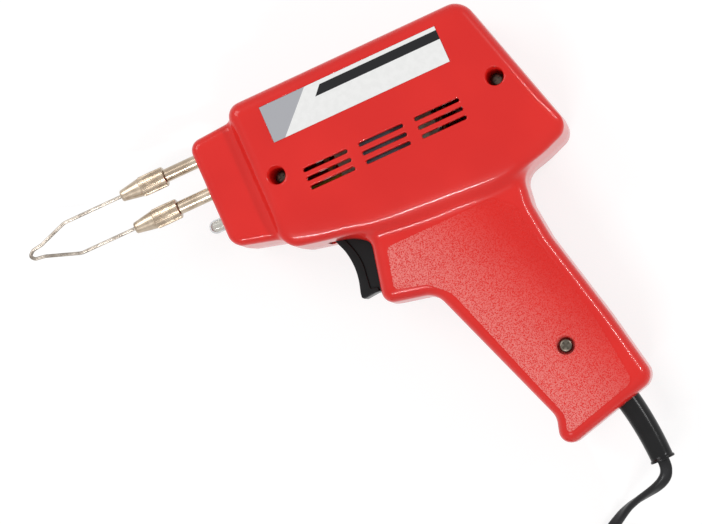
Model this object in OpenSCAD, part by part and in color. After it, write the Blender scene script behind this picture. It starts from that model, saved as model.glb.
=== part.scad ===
// Instant-heat soldering iron lying on its right side, with its supply cord and plug.
// The tip points along -X, the top of the body along +Y, and the left side faces up.

/* [Body] */
// Length of the body from its front face to the lower back corner
body_len = 137.5; // [115:0.5:165]
// Height of the body between its lowest and highest edge
body_tall = 82.5; // [76:0.5:100]
// Thickness of the body across both halves
body_thick = 54; // [45:0.5:66]
// Wall of both housing halves
wall = 2.5; // [2:0.1:3.2]
// Rounding of the body's side edges
body_round = 6; // [5:0.5:8]
// Rounding of the body's outline corners
body_corner = 7; // [6.5:0.5:10]

/* [Nose] */
// Length of the nose ahead of the body
nose_len = 22; // [19:0.5:29]
// Height of the nose where it meets the body
nose_tall = 61; // [56:0.5:70]
// Thickness of the nose
nose_thick = 42; // [35:0.5:44]
// Rounding of the nose's edges
nose_round = 4; // [3.5:0.5:5]

/* [Grip] */
// Height of the grip, from inside the body down to its foot
grip_len = 139; // [116:0.5:167]
// Reach of the grip from front to back, slant included
grip_run = 103; // [90:0.5:125]
// Thickness of the grip
grip_thick = 38; // [32:0.5:44]
// Rounding of the grip's side edges
grip_round = 6; // [5:0.5:7]

/* [Ventilation] */
// Width of one slot
slot_w = 1.8; // [1.2:0.1:2.4]
// Length of one slot
slot_len = 21.5; // [16:0.5:25]
// Distance between slots in a group
slot_pitch = 4.2; // [3.4:0.1:5]
// Distance between the groups
group_pitch = 27; // [25.5:0.5:30]

/* [Fasteners] */
// Diameter of the housing screws
screw_d = 3.4; // [2.8:0.1:4]
// Diameter of the housing screws' heads
screw_head_d = 6.4; // [5.4:0.1:7.2]
// Diameter of the screw recesses
recess_d = 8; // [7.4:0.1:9]

/* [Conductors and tip] */
// Diameter of the two conductors
conductor_d = 6.2; // [5.2:0.1:7]
// Distance between the conductors' axes
conductor_pitch = 16.1; // [14.5:0.1:19]
// Length of the conductors ahead of the nose, up to the nuts
conductor_reach = 17.9; // [12:0.1:24]
// Diameter of the nuts' knurled part
nut_d = 9.4; // [8.4:0.1:10.8]
// Length of a nut's knurled part
knurl_len = 12.6; // [10.5:0.1:15]
// Length of a nut's cone
cone_len = 9.8; // [8:0.1:12]
// Diameter of the soldering tip's wire
wire_d = 1.7; // [1.4:0.1:2]
// Length of the soldering tip ahead of the nuts
tip_len = 51.2; // [42:0.1:62]

/* [Lamp] */
// Diameter of the lamp's lens
lens_d = 6.4; // [5.6:0.1:7.2]
// How far the lens stands out of the nose
lens_reach = 9; // [6:0.1:10.5]

/* [Trigger and switch] */
// Width of the trigger
trigger_w = 12.4; // [10.5:0.1:14]
// Drop of the trigger's end below its pivot
trigger_drop = 35.4; // [34:0.1:36.5]
// Diameter of the trigger's pivot pin
pin_d = 3; // [2.5:0.1:3.6]
// Length of the switch along the grip
switch_len = 20; // [17:0.5:20.5]
// Depth of the switch behind its plunger face
switch_deep = 14; // [12:0.5:17]
// Thickness of the switch
switch_w = 10; // [8:0.5:12]

/* [Transformer] */
// Thickness of the core's stack of sheets
stack = 30; // [24:0.5:34]
// Thickness of the secondary strap
strap_t = 2.4; // [1.6:0.1:2.6]
// Width of the secondary strap
strap_w = 14; // [11:0.5:17]

/* [Cord and plug] */
// Width of the flat cord
cord_w = 5.4; // [4.8:0.1:5.6]
// Thickness of the flat cord
cord_t = 3.3; // [2.9:0.1:3.5]
// Diameter of the strain relief
relief_d = 11.4; // [9.5:0.1:12.6]
// Length of the strain relief outside the grip
relief_len = 31; // [26:0.5:36]
// Length of the plug's body with its neck
plug_len = 37; // [35:0.5:42]
// Width of the plug's body
plug_w = 26; // [25:0.5:28]
// Thickness of the plug's body
plug_t = 13.8; // [12:0.1:15]
// Diameter of a plug pin
plug_pin_d = 4; // [3.4:0.1:4.6]
// Length of a plug pin outside the plug
plug_pin_len = 19; // [16:0.5:22]

/* [Hidden] */
$fn = 48;

// Overrun of every cut
over = 1;
// Gap of a part that is only placed, of a screw in its hole, and of a running fit
loose = 0.3;
seat = 0.1;
run = 0.05;
// Points along each rounded corner and levels up each rounded edge
arc_steps = 4;
edge_steps = 4;
// How far the casing's walls draw in up to the rounded edge, for the mould
draft_in = 0.4;

// Places of the body, the nose and the grip
mid = body_thick / 2;
body_front_share = 0.4633;
body_low_share = 0.6;
body_front = -body_front_share * body_len;
body_low = -body_low_share * body_tall;
barrel_y_share = 0.7424;
barrel_y = body_low + barrel_y_share * body_tall;
nose_front = body_front - nose_len;
nose_lap = 6;
nose_drop = 45;
nose_low = barrel_y - nose_drop;
grip_back = -40;
grip_lap = 20;
grip_top = body_low + grip_lap;
grip_low = grip_top - grip_len;

// Outlines, counter-clockwise, as shares of each piece's length and height
body_shares = [[0, 0.1634], [0.2017, 0.0664], [0.7983, 0], [1, 0.1276], [0.8502, 1], [0, 1]];
nose_shares = [[0, 0.129], [1, 0], [1, 1], [0, 0.9697]];
grip_shares = [[0.493, 0.0028], [1, 0.1042], [0.935, 0.3493], [0.838, 0.6506], [0.821, 0.7661],
    [0.854, 0.957], [0, 0.989], [0.102, 0.8637], [0.043, 0.6628], [0.27, 0.6253], [0.527, 0.1183]];
body_outline = placed(body_shares, [body_front, body_low], [body_len, body_tall]);
nose_outline = placed(nose_shares, [nose_front, nose_low], [nose_len + nose_lap, nose_tall]);
grip_outline = placed(grip_shares, [grip_back, grip_low], [grip_run, grip_len]);
body_radii = [body_corner, body_corner * 3, body_corner * 2, body_corner, body_corner, body_corner];
nose_corner = nose_round * 1.375;
nose_radii = [nose_corner, nose_round, nose_round, nose_corner];
grip_corner = 6.5;
grip_corner_shares = [0.9, 1.1, 8, 6, 2, 0.5, 0.5, 1, 0.9, 1.4, 1.2];
grip_radii = grip_corner * grip_corner_shares;
// How much more the body's lower edges are drawn in than its other edges
body_draw = [2.1, 2.1, 1.7, 1, 1, 1];
nose_draw = [1, 0, 1, 1];
grip_draw = [1, 1, 1, 1, 1, 1, 1, 1, 1, 1, 1];

// Transformer
core_rib_h = 2;
core_tall = body_thick - 2 * wall - 2 * core_rib_h;
limb = core_tall * 2 / 5;
window = limb / 2;
core_drop_share = 0.5694;
core_y = barrel_y - limb * core_drop_share;
core_x_share = 0.4342;
core_x = body_front + core_x_share * body_len;
core_z = wall + core_rib_h;
bobbin_t = 1.2;
winding_share = 0.43;
winding_t = window * winding_share;
wrap_t = 0.3;
strap_x = core_x - stack / 2 - bobbin_t - winding_t - wrap_t - window;
bobbin_out = window - loose;
strap_in = bobbin_t + seat + winding_t + wrap_t + loose;
plate_margin = 4.6;

// Conductors and nuts
upper_y = barrel_y + conductor_pitch / 2;
lower_y = barrel_y - conductor_pitch / 2;
shoulder_x = nose_front - conductor_reach;
thread_step = 0.6;
stud_d = conductor_d - 2 * thread_step;
stud_reach = 1.8;
stud_len = knurl_len + stud_reach;
wire_gap = 0.1;
collet_deep = 18;
nut_x = shoulder_x - seat;
nut_front = nut_x - knurl_len - cone_len;
cone_d = 5.2;
wire_stop = 2;
wire_in = nut_front + cone_len + knurl_len - wire_stop;
wire_straight = 2;
sweep_share = 0.97;
wire_sides = 8;
tip_shares = [[0.59, 1], [0.86, 0.7], [0.945, 0.67], [1, 0.55], [0.965, 0.42], [0.87, 0.365], [0.55, 0]];
block_deep = 14;
block_gap = 2;
block_x = nose_front + wall + block_gap;
block_margin = 2.6;
block_lip = 1.6;
block_side = 3;
block_wide = nose_thick - 2 * wall - 2 * block_side;

// Lamp
lamp_drop = 23;
lamp_y = barrel_y - lamp_drop;
lens_wall = 0.5;
lens_flange = 1.6;
lens_rim = 1.3;
lens_flange_d = lens_d + 2 * lens_rim;
bulb_d = lens_d - 2 * lens_wall - 2 * loose;
bulb_lip = 0.3;
bulb_base_d = bulb_d + 2 * bulb_lip;
bulb_len = 19;
holder_t = 5;
holder_gap = 3;
holder_x = nose_front + wall + lens_flange + holder_gap;
holder_margin = 2;
holder_w = lens_d + 2 * holder_margin;
lead_d = 1.2;
lead_gap = 2.6;

// Trigger and switch
pivot_rise = 15.5;
pivot_in = 3;
pivot = [grip_back + pivot_in, body_low + pivot_rise];
pivot_wall = 2;
pivot_boss_d = pin_d + 2 * pivot_wall;
hub_wall = 2.75;
hub_d = pin_d + 2 * hub_wall;
pin_in = 8;
pin_half_len = trigger_w / 2 + pin_in;
web_step = 1.2;
web_w = trigger_w - 2 * web_step;
slot_front_share = 0.28;
slot_gap = 0.4;
trigger_end_gap = 0.2;
lip_shares = [[-0.21, -0.1], [-0.176, -0.2], [-0.124, -0.34], [-0.098, -0.48], [-0.094, -0.62],
    [-0.113, -0.76], [-0.155, -0.91], [-0.165, -0.97], [-0.138, -1], [0.085, -1], [0.082, -0.93],
    [-0.012, -0.91], [0.01, -0.76], [0.024, -0.62], [0.018, -0.48], [-0.014, -0.34], [-0.06, -0.2],
    [-0.08, -0.1]];
web_shares = [[-0.2, -0.06], [-0.15, -0.2], [-0.09, -0.34], [-0.06, -0.5], [-0.07, -0.75], [-0.12, -0.95],
    [0.3, -0.97], [0.31, -0.55], [0.367, -0.54], [0.367, -0.36], [0.2, -0.05]];
plunger_d = 3;
plunger_drop_share = 0.45;
plunger_face_share = 0.367;
plunger_y = pivot.y - trigger_drop * plunger_drop_share;
plunger_rest_x = pivot.x + trigger_drop * plunger_face_share + run;
plunger_out = 7;
plunger_in = 5;
plunger_travel = 4;
switch_x = plunger_rest_x + plunger_out;
switch_over = 8.2;
switch_low = plunger_y + switch_over - switch_len;
switch_screw_shares = [[0.25, 0.86], [0.75, 0.14]];
blade_shares = [0.3, 0.75];
spring_d = 6;
spring_wire = 0.8;
spring_drop_share = 0.9;
spring_face_share = 0.3;
spring_gap = 0.35;
spring_y = pivot.y - trigger_drop * spring_drop_share;
spring_x = pivot.x + trigger_drop * spring_face_share + spring_gap;
spring_len = 12.5;
stop_t = 2;
stop_margin = 0.8;
slot_back = 12;
blade_w = 5;
blade_t = 0.8;
blade_len = 7;

// Screws of the housing, their bosses and the depth of each head below the side
body_screw_shares = [[0.0779, 0.5394], [0.8451, 0.5334]];
grip_screw_shares = [[0.7039, 0.3094]];
screw_places = concat(
    placed(body_screw_shares, [body_front, body_low], [body_len, body_tall]),
    placed(grip_screw_shares, [grip_back, grip_low], [grip_run, grip_len])
);
head_drops = [17, 17, 3.4];
boss_wall = 1.5;
boss_d = recess_d + 2 * boss_wall;
pilot_wall = 2;
pilot_boss_d = screw_d + 2 * pilot_wall;
screw_grip = 15;
head_t = 2.4;
slot_depth_share = 0.4;
slot_long_share = 0.6;
slot_wide_share = 0.14;

// Screws of the switch, the terminal block and the cord's clamp
small_screw_d = 2.4;
small_head_d = 4.4;
small_head_t = 1.6;
small_boss_d = 5.6;
small_grip = 14;

// Rating plate and ventilation slots
plate_share = [0.6211, 0.2061];
plate_low_share = [0.1143, 0.7043];
plate_size = [plate_share.x * body_len, plate_share.y * body_tall];
plate_low = placed([plate_low_share], [body_front, body_low], [body_len, body_tall])[0];
plate_t = 0.3;
slot_place_share = [0.4379, 0.5007];
slot_place = placed([slot_place_share], [body_front, body_low], [body_len, body_tall])[0];

// Terminal block
block_size = [18, 12, 15];
block_low_share = [0.4272, 0.4497];
block_low = placed([block_low_share], [grip_back, grip_low], [grip_run, grip_len])[0];
block_z = mid - block_size.z / 2;

// Cord inside the grip, its clamp and its strain relief
relief_bend = 150;
relief_drop = 19.5;
relief_x_share = 0.8738;
relief_end = [grip_back + relief_x_share * grip_run, grip_low - relief_drop];
bend_centre = [relief_end.x - relief_bend, relief_end.y];
relief_angle = relief_len * 180 / (PI * relief_bend);
relief_in_angle = 1.7;
flange_angle = 0.7;
hole_angle = 6;
inner_angle = 16.4;
lead_angle = 16.6;
flange_margin = 1.5;
relief_flange_d = relief_d + 2 * flange_margin;
clamp_angle = 15.5;
clamp_t = 3;
clamp_w = 6;
clamp_len = 22;
clamp_pitch = 16;
core_wire_d = 2;
// Bends of the wires, counted from the cord's end, the block, the switch's blades and the coil
supply_bends = [[-2, 20, 0], [16, -12, 0], [6, 0, 0], [-3, 20, 6], [12, -6, 6], [2, 18, 6], [4, -12, 0],
    [4, 0, 0]];
primary_bends = [[5, 0, 0], [3, -4, 0], [3, 0, 0], [0, 6, 0], [12, 24, 8]];

// Coil of the unseen cord, put away beside the grip's foot
coil_offset = [-94, -41];
coil_centre = relief_end + coil_offset;
coil_out = 36;
coil_gap = 0.5;
coil_pitch = cord_t + coil_gap;
coil_loops = 4;
coil_rise = cord_w + coil_gap;
tie_w = 6;
tie_t = 0.8;
tie_gap = 0.35;
coil_low = tie_t + seat + cord_w / 2;
loop_steps = 24;
coil_in = coil_out - coil_pitch * (coil_loops + 0.5);
coil_turns = 2 * coil_loops - 0.5;
// The cord's route from the strain relief to the coil: its place from the strain relief's end,
// its height's share between the coil's lower layer and the parting plane, and its roll
cord_steps = [[0, 0], [0, -1.5], [-0.4, -4], [-1.8, -6.6], [-4.4, -8.6], [-8, -10], [-12.5, -11],
    [-17.5, -12], [-22.5, -13.4], [-27.5, -15.6], [-32.5, -18.4], [-37.5, -21.4], [-42.5, -24.4],
    [-47, -27.4], [-51, -30.6], [-54.6, -33.6], [-57.2, -37.2], [-57.95, -40.7]];
cord_height_shares = [1, 1, 0.9915, 0.9658, 0.9145, 0.8291, 0.6923, 0.5299, 0.3761, 0.2308, 0.1111, 0.0427,
    0.0085, 0, 0, 0, 0, 0];
cord_rolls = [0, 0, 6, 18, 34, 52, 70, 86, 104, 128, 150, 172, 192, 212, 230, 248, 262, 270];
cord_route = [for (i = [0:len(cord_steps) - 1]) [
    relief_end.x + cord_steps[i].x,
    relief_end.y + cord_steps[i].y,
    coil_low + (mid - coil_low) * cord_height_shares[i]
]];
// The cord's route from the coil's upper layer to the plug, in the same way
tail_steps = [[0, 3.5], [-0.3, 7], [-1.1, 11.5], [-2.9, 16], [-5.8, 20.2], [-9.5, 24], [-13.9, 27],
    [-18.9, 29.2], [-23.9, 30], [-26.9, 30]];
tail_height_shares = [1, 1, 1, 0.8, 0.577, 0.385, 0.192, 0.077, 0, 0];
tail_rolls = [270, 270, 266, 256, 240, 222, 204, 190, 180, 180];
tail_from = coil_centre - [coil_radius(coil_turns), 0];
tail_route = [for (i = [0:len(tail_steps) - 1]) [
    tail_from.x + tail_steps[i].x,
    tail_from.y + tail_steps[i].y,
    plug_t / 2 + (coil_low + coil_rise - plug_t / 2) * tail_height_shares[i]
]];
plug_back = tail_from + tail_steps[len(tail_steps) - 1] - [loose, 0];
plug_neck = 10;
plug_neck_d = 8.4;
plug_pin_gap = 18.6;
plug_pin_in = 8;
plug_root_step = 0.3;
plug_root_d = plug_pin_d - 2 * plug_root_step;
plug_round = 3;
plug_back_share = 0.62;
neck_share = 0.8;
hull_fn = 32;

function placed(shares, low, size) = [for (s = shares) [low.x + s.x * size.x, low.y + s.y * size.y]];
function outward(a, b) = [b.y - a.y, a.x - b.x] / norm(b - a);
function around(list, i) = list[(i + len(list)) % len(list)];

// The corner where two edges meet after each is drawn in by its own distance
function drawn_corner(a, p, b, in1, in2) =
    let (
        n1 = outward(a, p),
        n2 = outward(p, b),
        det = n1.x * n2.y - n1.y * n2.x
    )
    p + [in2 * n1.y - in1 * n2.y, in1 * n2.x - in2 * n1.x] / det;
function drawn_in(outline, ins) = [for (i = [0:len(outline) - 1])
    drawn_corner(around(outline, i - 1), outline[i], around(outline, i + 1), around(ins, i - 1), ins[i])];

// A rounded corner grows where the outline is hollow and shrinks where it bulges
function bulges(a, p, b) = cross(p - a, b - p) > 0;
function drawn_radii(outline, radii, ins) = [for (i = [0:len(outline) - 1])
    let (d = max(around(ins, i - 1), ins[i]))
    bulges(around(outline, i - 1), outline[i], around(outline, i + 1))
        ? max(radii[i] - d, radii[i] * 0.12) : radii[i] + d];
function corner_arc(a, p, b, r) =
    let (
        u = (a - p) / norm(a - p),
        v = (b - p) / norm(b - p),
        half = acos(u * v) / 2,
        turn = 180 - 2 * half,
        centre = p + (u + v) / norm(u + v) * r / sin(half),
        from = p + u * r / tan(half) - centre,
        to = p + v * r / tan(half) - centre
    )
    [for (k = [0:arc_steps]) let (f = k / arc_steps)
        centre + (sin((1 - f) * turn) * from + sin(f * turn) * to) / sin(turn)];
function rounded(outline, radii) = [for (i = [0:len(outline) - 1])
    each corner_arc(around(outline, i - 1), outline[i], around(outline, i + 1), radii[i])];

// Levels of one half from the parting plane outwards, as height and draw
function levels(half, round, start) = [[start, 0], for (k = [0:edge_steps])
    let (a = 90 * k / edge_steps)
    [half - round * (1 - sin(a)), draft_in + round * (1 - cos(a))]];

// Cuts a flat outline with hollow corners into triangles, one corner at a time
function within(q, a, b, c) =
    cross(b - a, q - a) >= 0 && cross(c - b, q - b) >= 0 && cross(a - c, q - c) >= 0;
function can_cut(points, left, i) =
    let (
        a = around(left, i - 1),
        b = left[i],
        c = around(left, i + 1)
    )
    bulges(points[a], points[b], points[c])
    && len([for (k = left)
        if (k != a && k != b && k != c && within(points[k], points[a], points[b], points[c])) k]) == 0;
function first_cut(points, left, i = 0) = can_cut(points, left, i) ? i : first_cut(points, left, i + 1);
function triangles(points, left) = len(left) < 4 ? [left]
    : let (i = first_cut(points, left))
    concat(
        [[around(left, i - 1), left[i], around(left, i + 1)]],
        triangles(points, [for (k = [0:len(left) - 1]) if (k != i) left[k]])
    );
function cap(ring) = triangles([for (p = ring) [p.x, p.y]], [for (i = [0:len(ring) - 1]) i]);

module loft(rings) {
    n = len(rings[0]);
    last = (len(rings) - 1) * n;
    sides = [for (k = [0:len(rings) - 2]) for (i = [0:n - 1])
        let (j = (i + 1) % n)
        each [[k * n + i, (k + 1) * n + i, (k + 1) * n + j], [k * n + i, (k + 1) * n + j, k * n + j]]];
    polyhedron(
        points = [for (r = rings) each r],
        faces = concat(
            sides,
            cap(rings[0]),
            [for (t = cap(rings[len(rings) - 1])) [last + t[2], last + t[1], last + t[0]]]
        )
    );
}

// One half of a rounded casing above the parting plane, drawn in by a skin
module half_casing(outline, radii, draw, half, round, skin) {
    rings = [for (level = levels(half - skin, round, skin > 0 ? -over : 0))
        let (ins = [for (d = draw) skin + level.y * d])
        [for (p = rounded(drawn_in(outline, ins), drawn_radii(outline, radii, ins)))
            [p.x, p.y, mid + level.x]]];
    loft(rings);
}

module casing(skin) {
    half_casing(body_outline, body_radii, body_draw, mid, body_round, skin);
    half_casing(nose_outline, nose_radii, nose_draw, nose_thick / 2, nose_round, skin);
    half_casing(grip_outline, grip_radii, grip_draw, grip_thick / 2, grip_round, skin);
}

// Moves its children from the left half to the right half
module other_side() {
    translate([0, 0, mid])
        mirror([0, 0, 1])
            translate([0, 0, -mid])
                children();
}

module along_x(from, to, d, y, z = mid, d2 = undef) {
    translate([from, y, z])
        rotate([0, 90, 0])
            cylinder(h = to - from, d1 = d, d2 = is_undef(d2) ? d : d2);
}

// A thin round wire that runs through a list of points
module wire(points, d) {
    swept(points, [for (p = points) 0], wire_sides, d, d);
}

module slot(length, width, height) {
    translate([-length / 2 + width / 2, -width / 2, 0])
        cube([length - width, width, height]);
    for (side = [-1, 1]) {
        translate([side * (length - width) / 2, 0, 0])
            cylinder(h = height, d = width);
    }
}

module vents() {
    for (group = [-1, 0, 1]) {
        for (row = [0, 1, 2]) {
            translate([slot_place.x + group * group_pitch, slot_place.y - row * slot_pitch,
                2 * mid - wall - over])
                slot(slot_len, slot_w, wall + 2 * over);
        }
    }
}

// The way of the two conductors and the lens through the nose's front wall
module nose_holes() {
    for (y = [upper_y, lower_y]) {
        along_x(nose_front - over, nose_front + wall + nose_round, conductor_d + 2 * loose, y);
    }
    along_x(nose_front - over, nose_front + wall + nose_round, lens_d + 2 * seat, lamp_y);
}

// The slot that the trigger swings in
module trigger_slot() {
    span = trigger_drop + slot_gap;
    front = trigger_drop * slot_front_share;
    translate([pivot.x - front, pivot.y - span, mid - trigger_w / 2 - slot_gap])
        cube([front + slot_back, span - pin_d, trigger_w + 2 * slot_gap]);
}

module relief_hole() {
    bent(relief_angle + hole_angle, relief_angle - hole_angle)
        circle(d = relief_d + 2 * seat);
}

// A section swept along the strain relief's bend, from one angle to another
module bent(to, from = 0) {
    translate([bend_centre.x, bend_centre.y, mid])
        rotate([0, 0, from])
            rotate_extrude(angle = to - from, $fn = 360)
                translate([relief_bend, 0])
                    children();
}

// Section of the flat cord, lying flat
module cord_section() {
    square([cord_w - cord_t, cord_t], center = true);
    for (side = [-1, 1]) {
        translate([side * (cord_w - cord_t) / 2, 0])
            circle(d = cord_t, $fn = 24);
    }
}

// Ribs of one half that hold the transformer's core
module core_ribs() {
    for (side = [-1, 1]) {
        translate([core_x + side * (stack / 2 - wall) - wall / 2, core_y - limb,
            2 * mid - wall - core_rib_h])
            cube([wall, 2 * limb, core_rib_h + over]);
    }
}

// Bearing of the trigger's pin in one half
module pivot_boss() {
    start = trigger_w / 2 + trigger_end_gap;
    translate([pivot.x, pivot.y, mid + start])
        cylinder(h = mid - wall - start + over, d = pivot_boss_d);
}

module pivot_bore() {
    translate([pivot.x, pivot.y, mid])
        cylinder(h = pin_half_len + seat, d = pin_d + 2 * seat);
}

// Wall behind the trigger's spring
module spring_stop() {
    translate([spring_x + spring_len, spring_y - spring_d / 2 - stop_margin, mid])
        cube([stop_t, spring_d + 2 * stop_margin, grip_thick / 2 - wall + over]);
}

module housing_left() {
    seats = [mid * 2 - head_drops[0], mid * 2 - head_drops[1], mid + grip_thick / 2 - head_drops[2]];
    outs = [mid * 2, mid * 2, mid + grip_thick / 2];
    color([0.86, 0.19, 0.17])
    difference() {
        union() {
            difference() {
                casing(0);
                casing(wall);
            }
            for (i = [0:2]) {
                translate([screw_places[i].x, screw_places[i].y, mid])
                    cylinder(h = outs[i] - wall - mid + wall / 2, d = boss_d);
            }
            core_ribs();
            pivot_boss();
            spring_stop();
        }
        for (i = [0:2]) {
            translate([screw_places[i].x, screw_places[i].y, mid - over])
                cylinder(h = outs[i], d = screw_d + 2 * loose);
            translate([screw_places[i].x, screw_places[i].y, seats[i]])
                cylinder(h = outs[i] - seats[i] + over, d = recess_d);
        }
        vents();
        nose_holes();
        trigger_slot();
        relief_hole();
        pivot_bore();
        translate([plate_low.x - seat, plate_low.y - seat, 2 * mid - plate_t])
            cube([plate_size.x + 2 * seat, plate_size.y + 2 * seat, plate_t + over]);
    }
}

module right_boss(place, top, d) {
    translate([place.x, place.y, mid - grip_thick / 2 + wall / 2])
        cylinder(h = top - mid + grip_thick / 2 - wall / 2, d = d);
}

module housing_right() {
    color([0.84, 0.18, 0.16])
    difference() {
        union() {
            other_side()
                difference() {
                    casing(0);
                    casing(wall);
                }
            for (i = [0, 1]) {
                translate([screw_places[i].x, screw_places[i].y, wall / 2])
                    cylinder(h = mid - wall / 2, d = pilot_boss_d);
            }
            right_boss(screw_places[2], mid, pilot_boss_d);
            other_side() {
                core_ribs();
                pivot_boss();
                spring_stop();
            }
            for (place = switch_screw_places()) {
                right_boss(place, mid - switch_w / 2, small_boss_d);
            }
            for (place = block_screw_places()) {
                right_boss(place, block_z, small_boss_d);
            }
            for (side = [-1, 0, 1]) {
                right_boss(clamp_place(side), mid - cord_t / 2, small_boss_d);
            }
        }
        for (i = [0:2]) {
            translate([screw_places[i].x, screw_places[i].y, mid - screw_grip])
                cylinder(h = screw_grip + over, d = screw_d + 2 * run);
        }
        clamp_places = [clamp_place(-1), clamp_place(1)];
        for (place = concat(switch_screw_places(), block_screw_places(), clamp_places)) {
            translate([place.x, place.y, mid - small_grip])
                cylinder(h = small_grip + over, d = small_screw_d + 2 * run);
        }
        other_side() {
            vents();
            nose_holes();
            trigger_slot();
            relief_hole();
            pivot_bore();
        }
    }
}

// The plate carries no lettering: a blank field, a plain bar and a plain corner
module rating_plate() {
    color([0.93, 0.93, 0.92])
    translate([plate_low.x, plate_low.y, 2 * mid - plate_t])
        cube([plate_size.x, plate_size.y, plate_t]);
}

// A pan-headed screw that points down, its head's underside at the origin
module screw(length, d, head_d, head_h) {
    difference() {
        union() {
            cylinder(h = head_h, d = head_d);
            translate([0, 0, -length])
                cylinder(h = length, d = d);
        }
        for (turn = [0, 90]) {
            rotate([0, 0, turn])
                translate([-head_d * slot_long_share / 2, -head_d * slot_wide_share / 2,
                    head_h * slot_depth_share])
                    cube([head_d * slot_long_share, head_d * slot_wide_share, head_h]);
        }
    }
}

module housing_screws() {
    seats = [mid * 2 - head_drops[0], mid * 2 - head_drops[1], mid + grip_thick / 2 - head_drops[2]];
    color([0.78, 0.78, 0.76])
    for (i = [0:2]) {
        translate([screw_places[i].x, screw_places[i].y, seats[i]])
            screw(seats[i] - mid + screw_grip - over, screw_d, screw_head_d, head_t);
    }
}

module core_e_sheets() {
    color([0.42, 0.43, 0.46])
    translate([core_x - stack / 2, core_y - 1.5 * limb, core_z])
        difference() {
            cube([stack, 3 * limb, 2 * limb]);
            for (side = [0, 1]) {
                translate([-over, window + side * (limb + window), window])
                    cube([stack + 2 * over, window, 2 * limb]);
            }
        }
}

module core_i_sheets() {
    color([0.46, 0.47, 0.5])
    translate([core_x - stack / 2, core_y - 1.5 * limb, core_z + 2 * limb])
        cube([stack, 3 * limb, window]);
}

// A square ring round the core's middle limb, from one offset to another
module limb_ring(inner, outer, low, high) {
    difference() {
        translate([core_x - stack / 2 - outer, core_y - limb / 2 - outer, low])
            cube([stack + 2 * outer, limb + 2 * outer, high - low]);
        translate([core_x - stack / 2 - inner, core_y - limb / 2 - inner, low - over])
            cube([stack + 2 * inner, limb + 2 * inner, high - low + 2 * over]);
    }
}
window_low = core_z + window + seat;
window_high = core_z + 2 * limb - seat;

module coil_bobbin() {
    color([0.9, 0.88, 0.8])
    union() {
        limb_ring(seat, seat + bobbin_t, window_low, window_high);
        limb_ring(seat, bobbin_out, window_low, window_low + bobbin_t);
        limb_ring(seat, bobbin_out, window_high - bobbin_t, window_high);
    }
}

module primary_winding() {
    color([0.72, 0.38, 0.17])
    limb_ring(seat + bobbin_t, seat + bobbin_t + winding_t, window_low + bobbin_t, window_high - bobbin_t);
}

module winding_wrap() {
    color([0.88, 0.8, 0.36])
    limb_ring(seat + bobbin_t + winding_t, seat + bobbin_t + winding_t + wrap_t,
        window_low + bobbin_t, window_high - bobbin_t);
}

// One turn of flat copper round the windings, with an upright plate for each conductor
module secondary_strap() {
    back = core_x + stack / 2 + strap_in;
    top = core_y + limb / 2 + strap_in;
    low = core_y - limb / 2 - strap_in - strap_t;
    plates = [[top + strap_t, upper_y - plate_margin], [low, lower_y + plate_margin]];
    color([0.76, 0.45, 0.28])
    translate([0, 0, mid - strap_w / 2])
        difference() {
            union() {
                translate([back, low, 0])
                    cube([strap_t, top + strap_t - low, strap_w]);
                translate([strap_x, top, 0])
                    cube([back - strap_x, strap_t, strap_w]);
                translate([strap_x, low, 0])
                    cube([back - strap_x, strap_t, strap_w]);
                for (p = plates) {
                    translate([strap_x, min(p), 0])
                        cube([strap_t, abs(p[0] - p[1]), strap_w]);
                }
                translate([strap_x, upper_y - plate_margin, 0])
                    cube([strap_t, 2 * plate_margin, strap_w]);
            }
            for (y = [upper_y, lower_y]) {
                along_x(strap_x - over, strap_x + strap_t + over, conductor_d + 2 * run, y, strap_w / 2);
            }
        }
}

// A plated rod with a threaded stud and a bore for the tip's wire at its front end
module conductor(y) {
    difference() {
        union() {
            along_x(shoulder_x, strap_x + strap_t, conductor_d, y);
            along_x(shoulder_x - stud_len, shoulder_x + over, stud_d, y);
        }
        along_x(shoulder_x - stud_len - over, shoulder_x - stud_len + collet_deep, wire_d + 2 * wire_gap, y);
    }
}

module upper_conductor() {
    color([0.74, 0.72, 0.66])
    conductor(upper_y);
}

module lower_conductor() {
    color([0.74, 0.72, 0.66])
    conductor(lower_y);
}

module nose_block() {
    low = lower_y - conductor_d / 2 - block_margin;
    high = upper_y + block_lip;
    color([0.3, 0.2, 0.12])
    difference() {
        translate([block_x, low, mid - block_wide / 2])
            cube([block_deep, high - low, block_wide]);
        for (y = [upper_y, lower_y]) {
            along_x(block_x - over, block_x + block_deep + over, conductor_d + 2 * run, y);
        }
    }
}

module collet_nut(y) {
    difference() {
        union() {
            along_x(nut_x - knurl_len, nut_x, nut_d, y);
            along_x(nut_front, nut_x - knurl_len + seat, cone_d, y, mid, nut_d - 2 * run);
        }
        along_x(nut_x - stud_len - loose, nut_x + over, stud_d + 2 * run, y);
        along_x(nut_front - over, nut_x, wire_d + 2 * loose, y);
    }
}

module upper_collet_nut() {
    color([0.7, 0.68, 0.62])
    collet_nut(upper_y);
}

module lower_collet_nut() {
    color([0.7, 0.68, 0.62])
    collet_nut(lower_y);
}

module tip_wire() {
    bends = [for (s = tip_shares)
        [nut_front - s.x * (tip_len - wire_d / 2), lower_y + s.y * conductor_pitch, mid]];
    color([0.75, 0.74, 0.7])
    union() {
        for (y = [upper_y, lower_y]) {
            along_x(nut_front - wire_straight, wire_in, wire_d, y);
        }
        wire(concat([[nut_front, upper_y, mid]], bends, [[nut_front, lower_y, mid]]), wire_d * sweep_share);
    }
}

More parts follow.
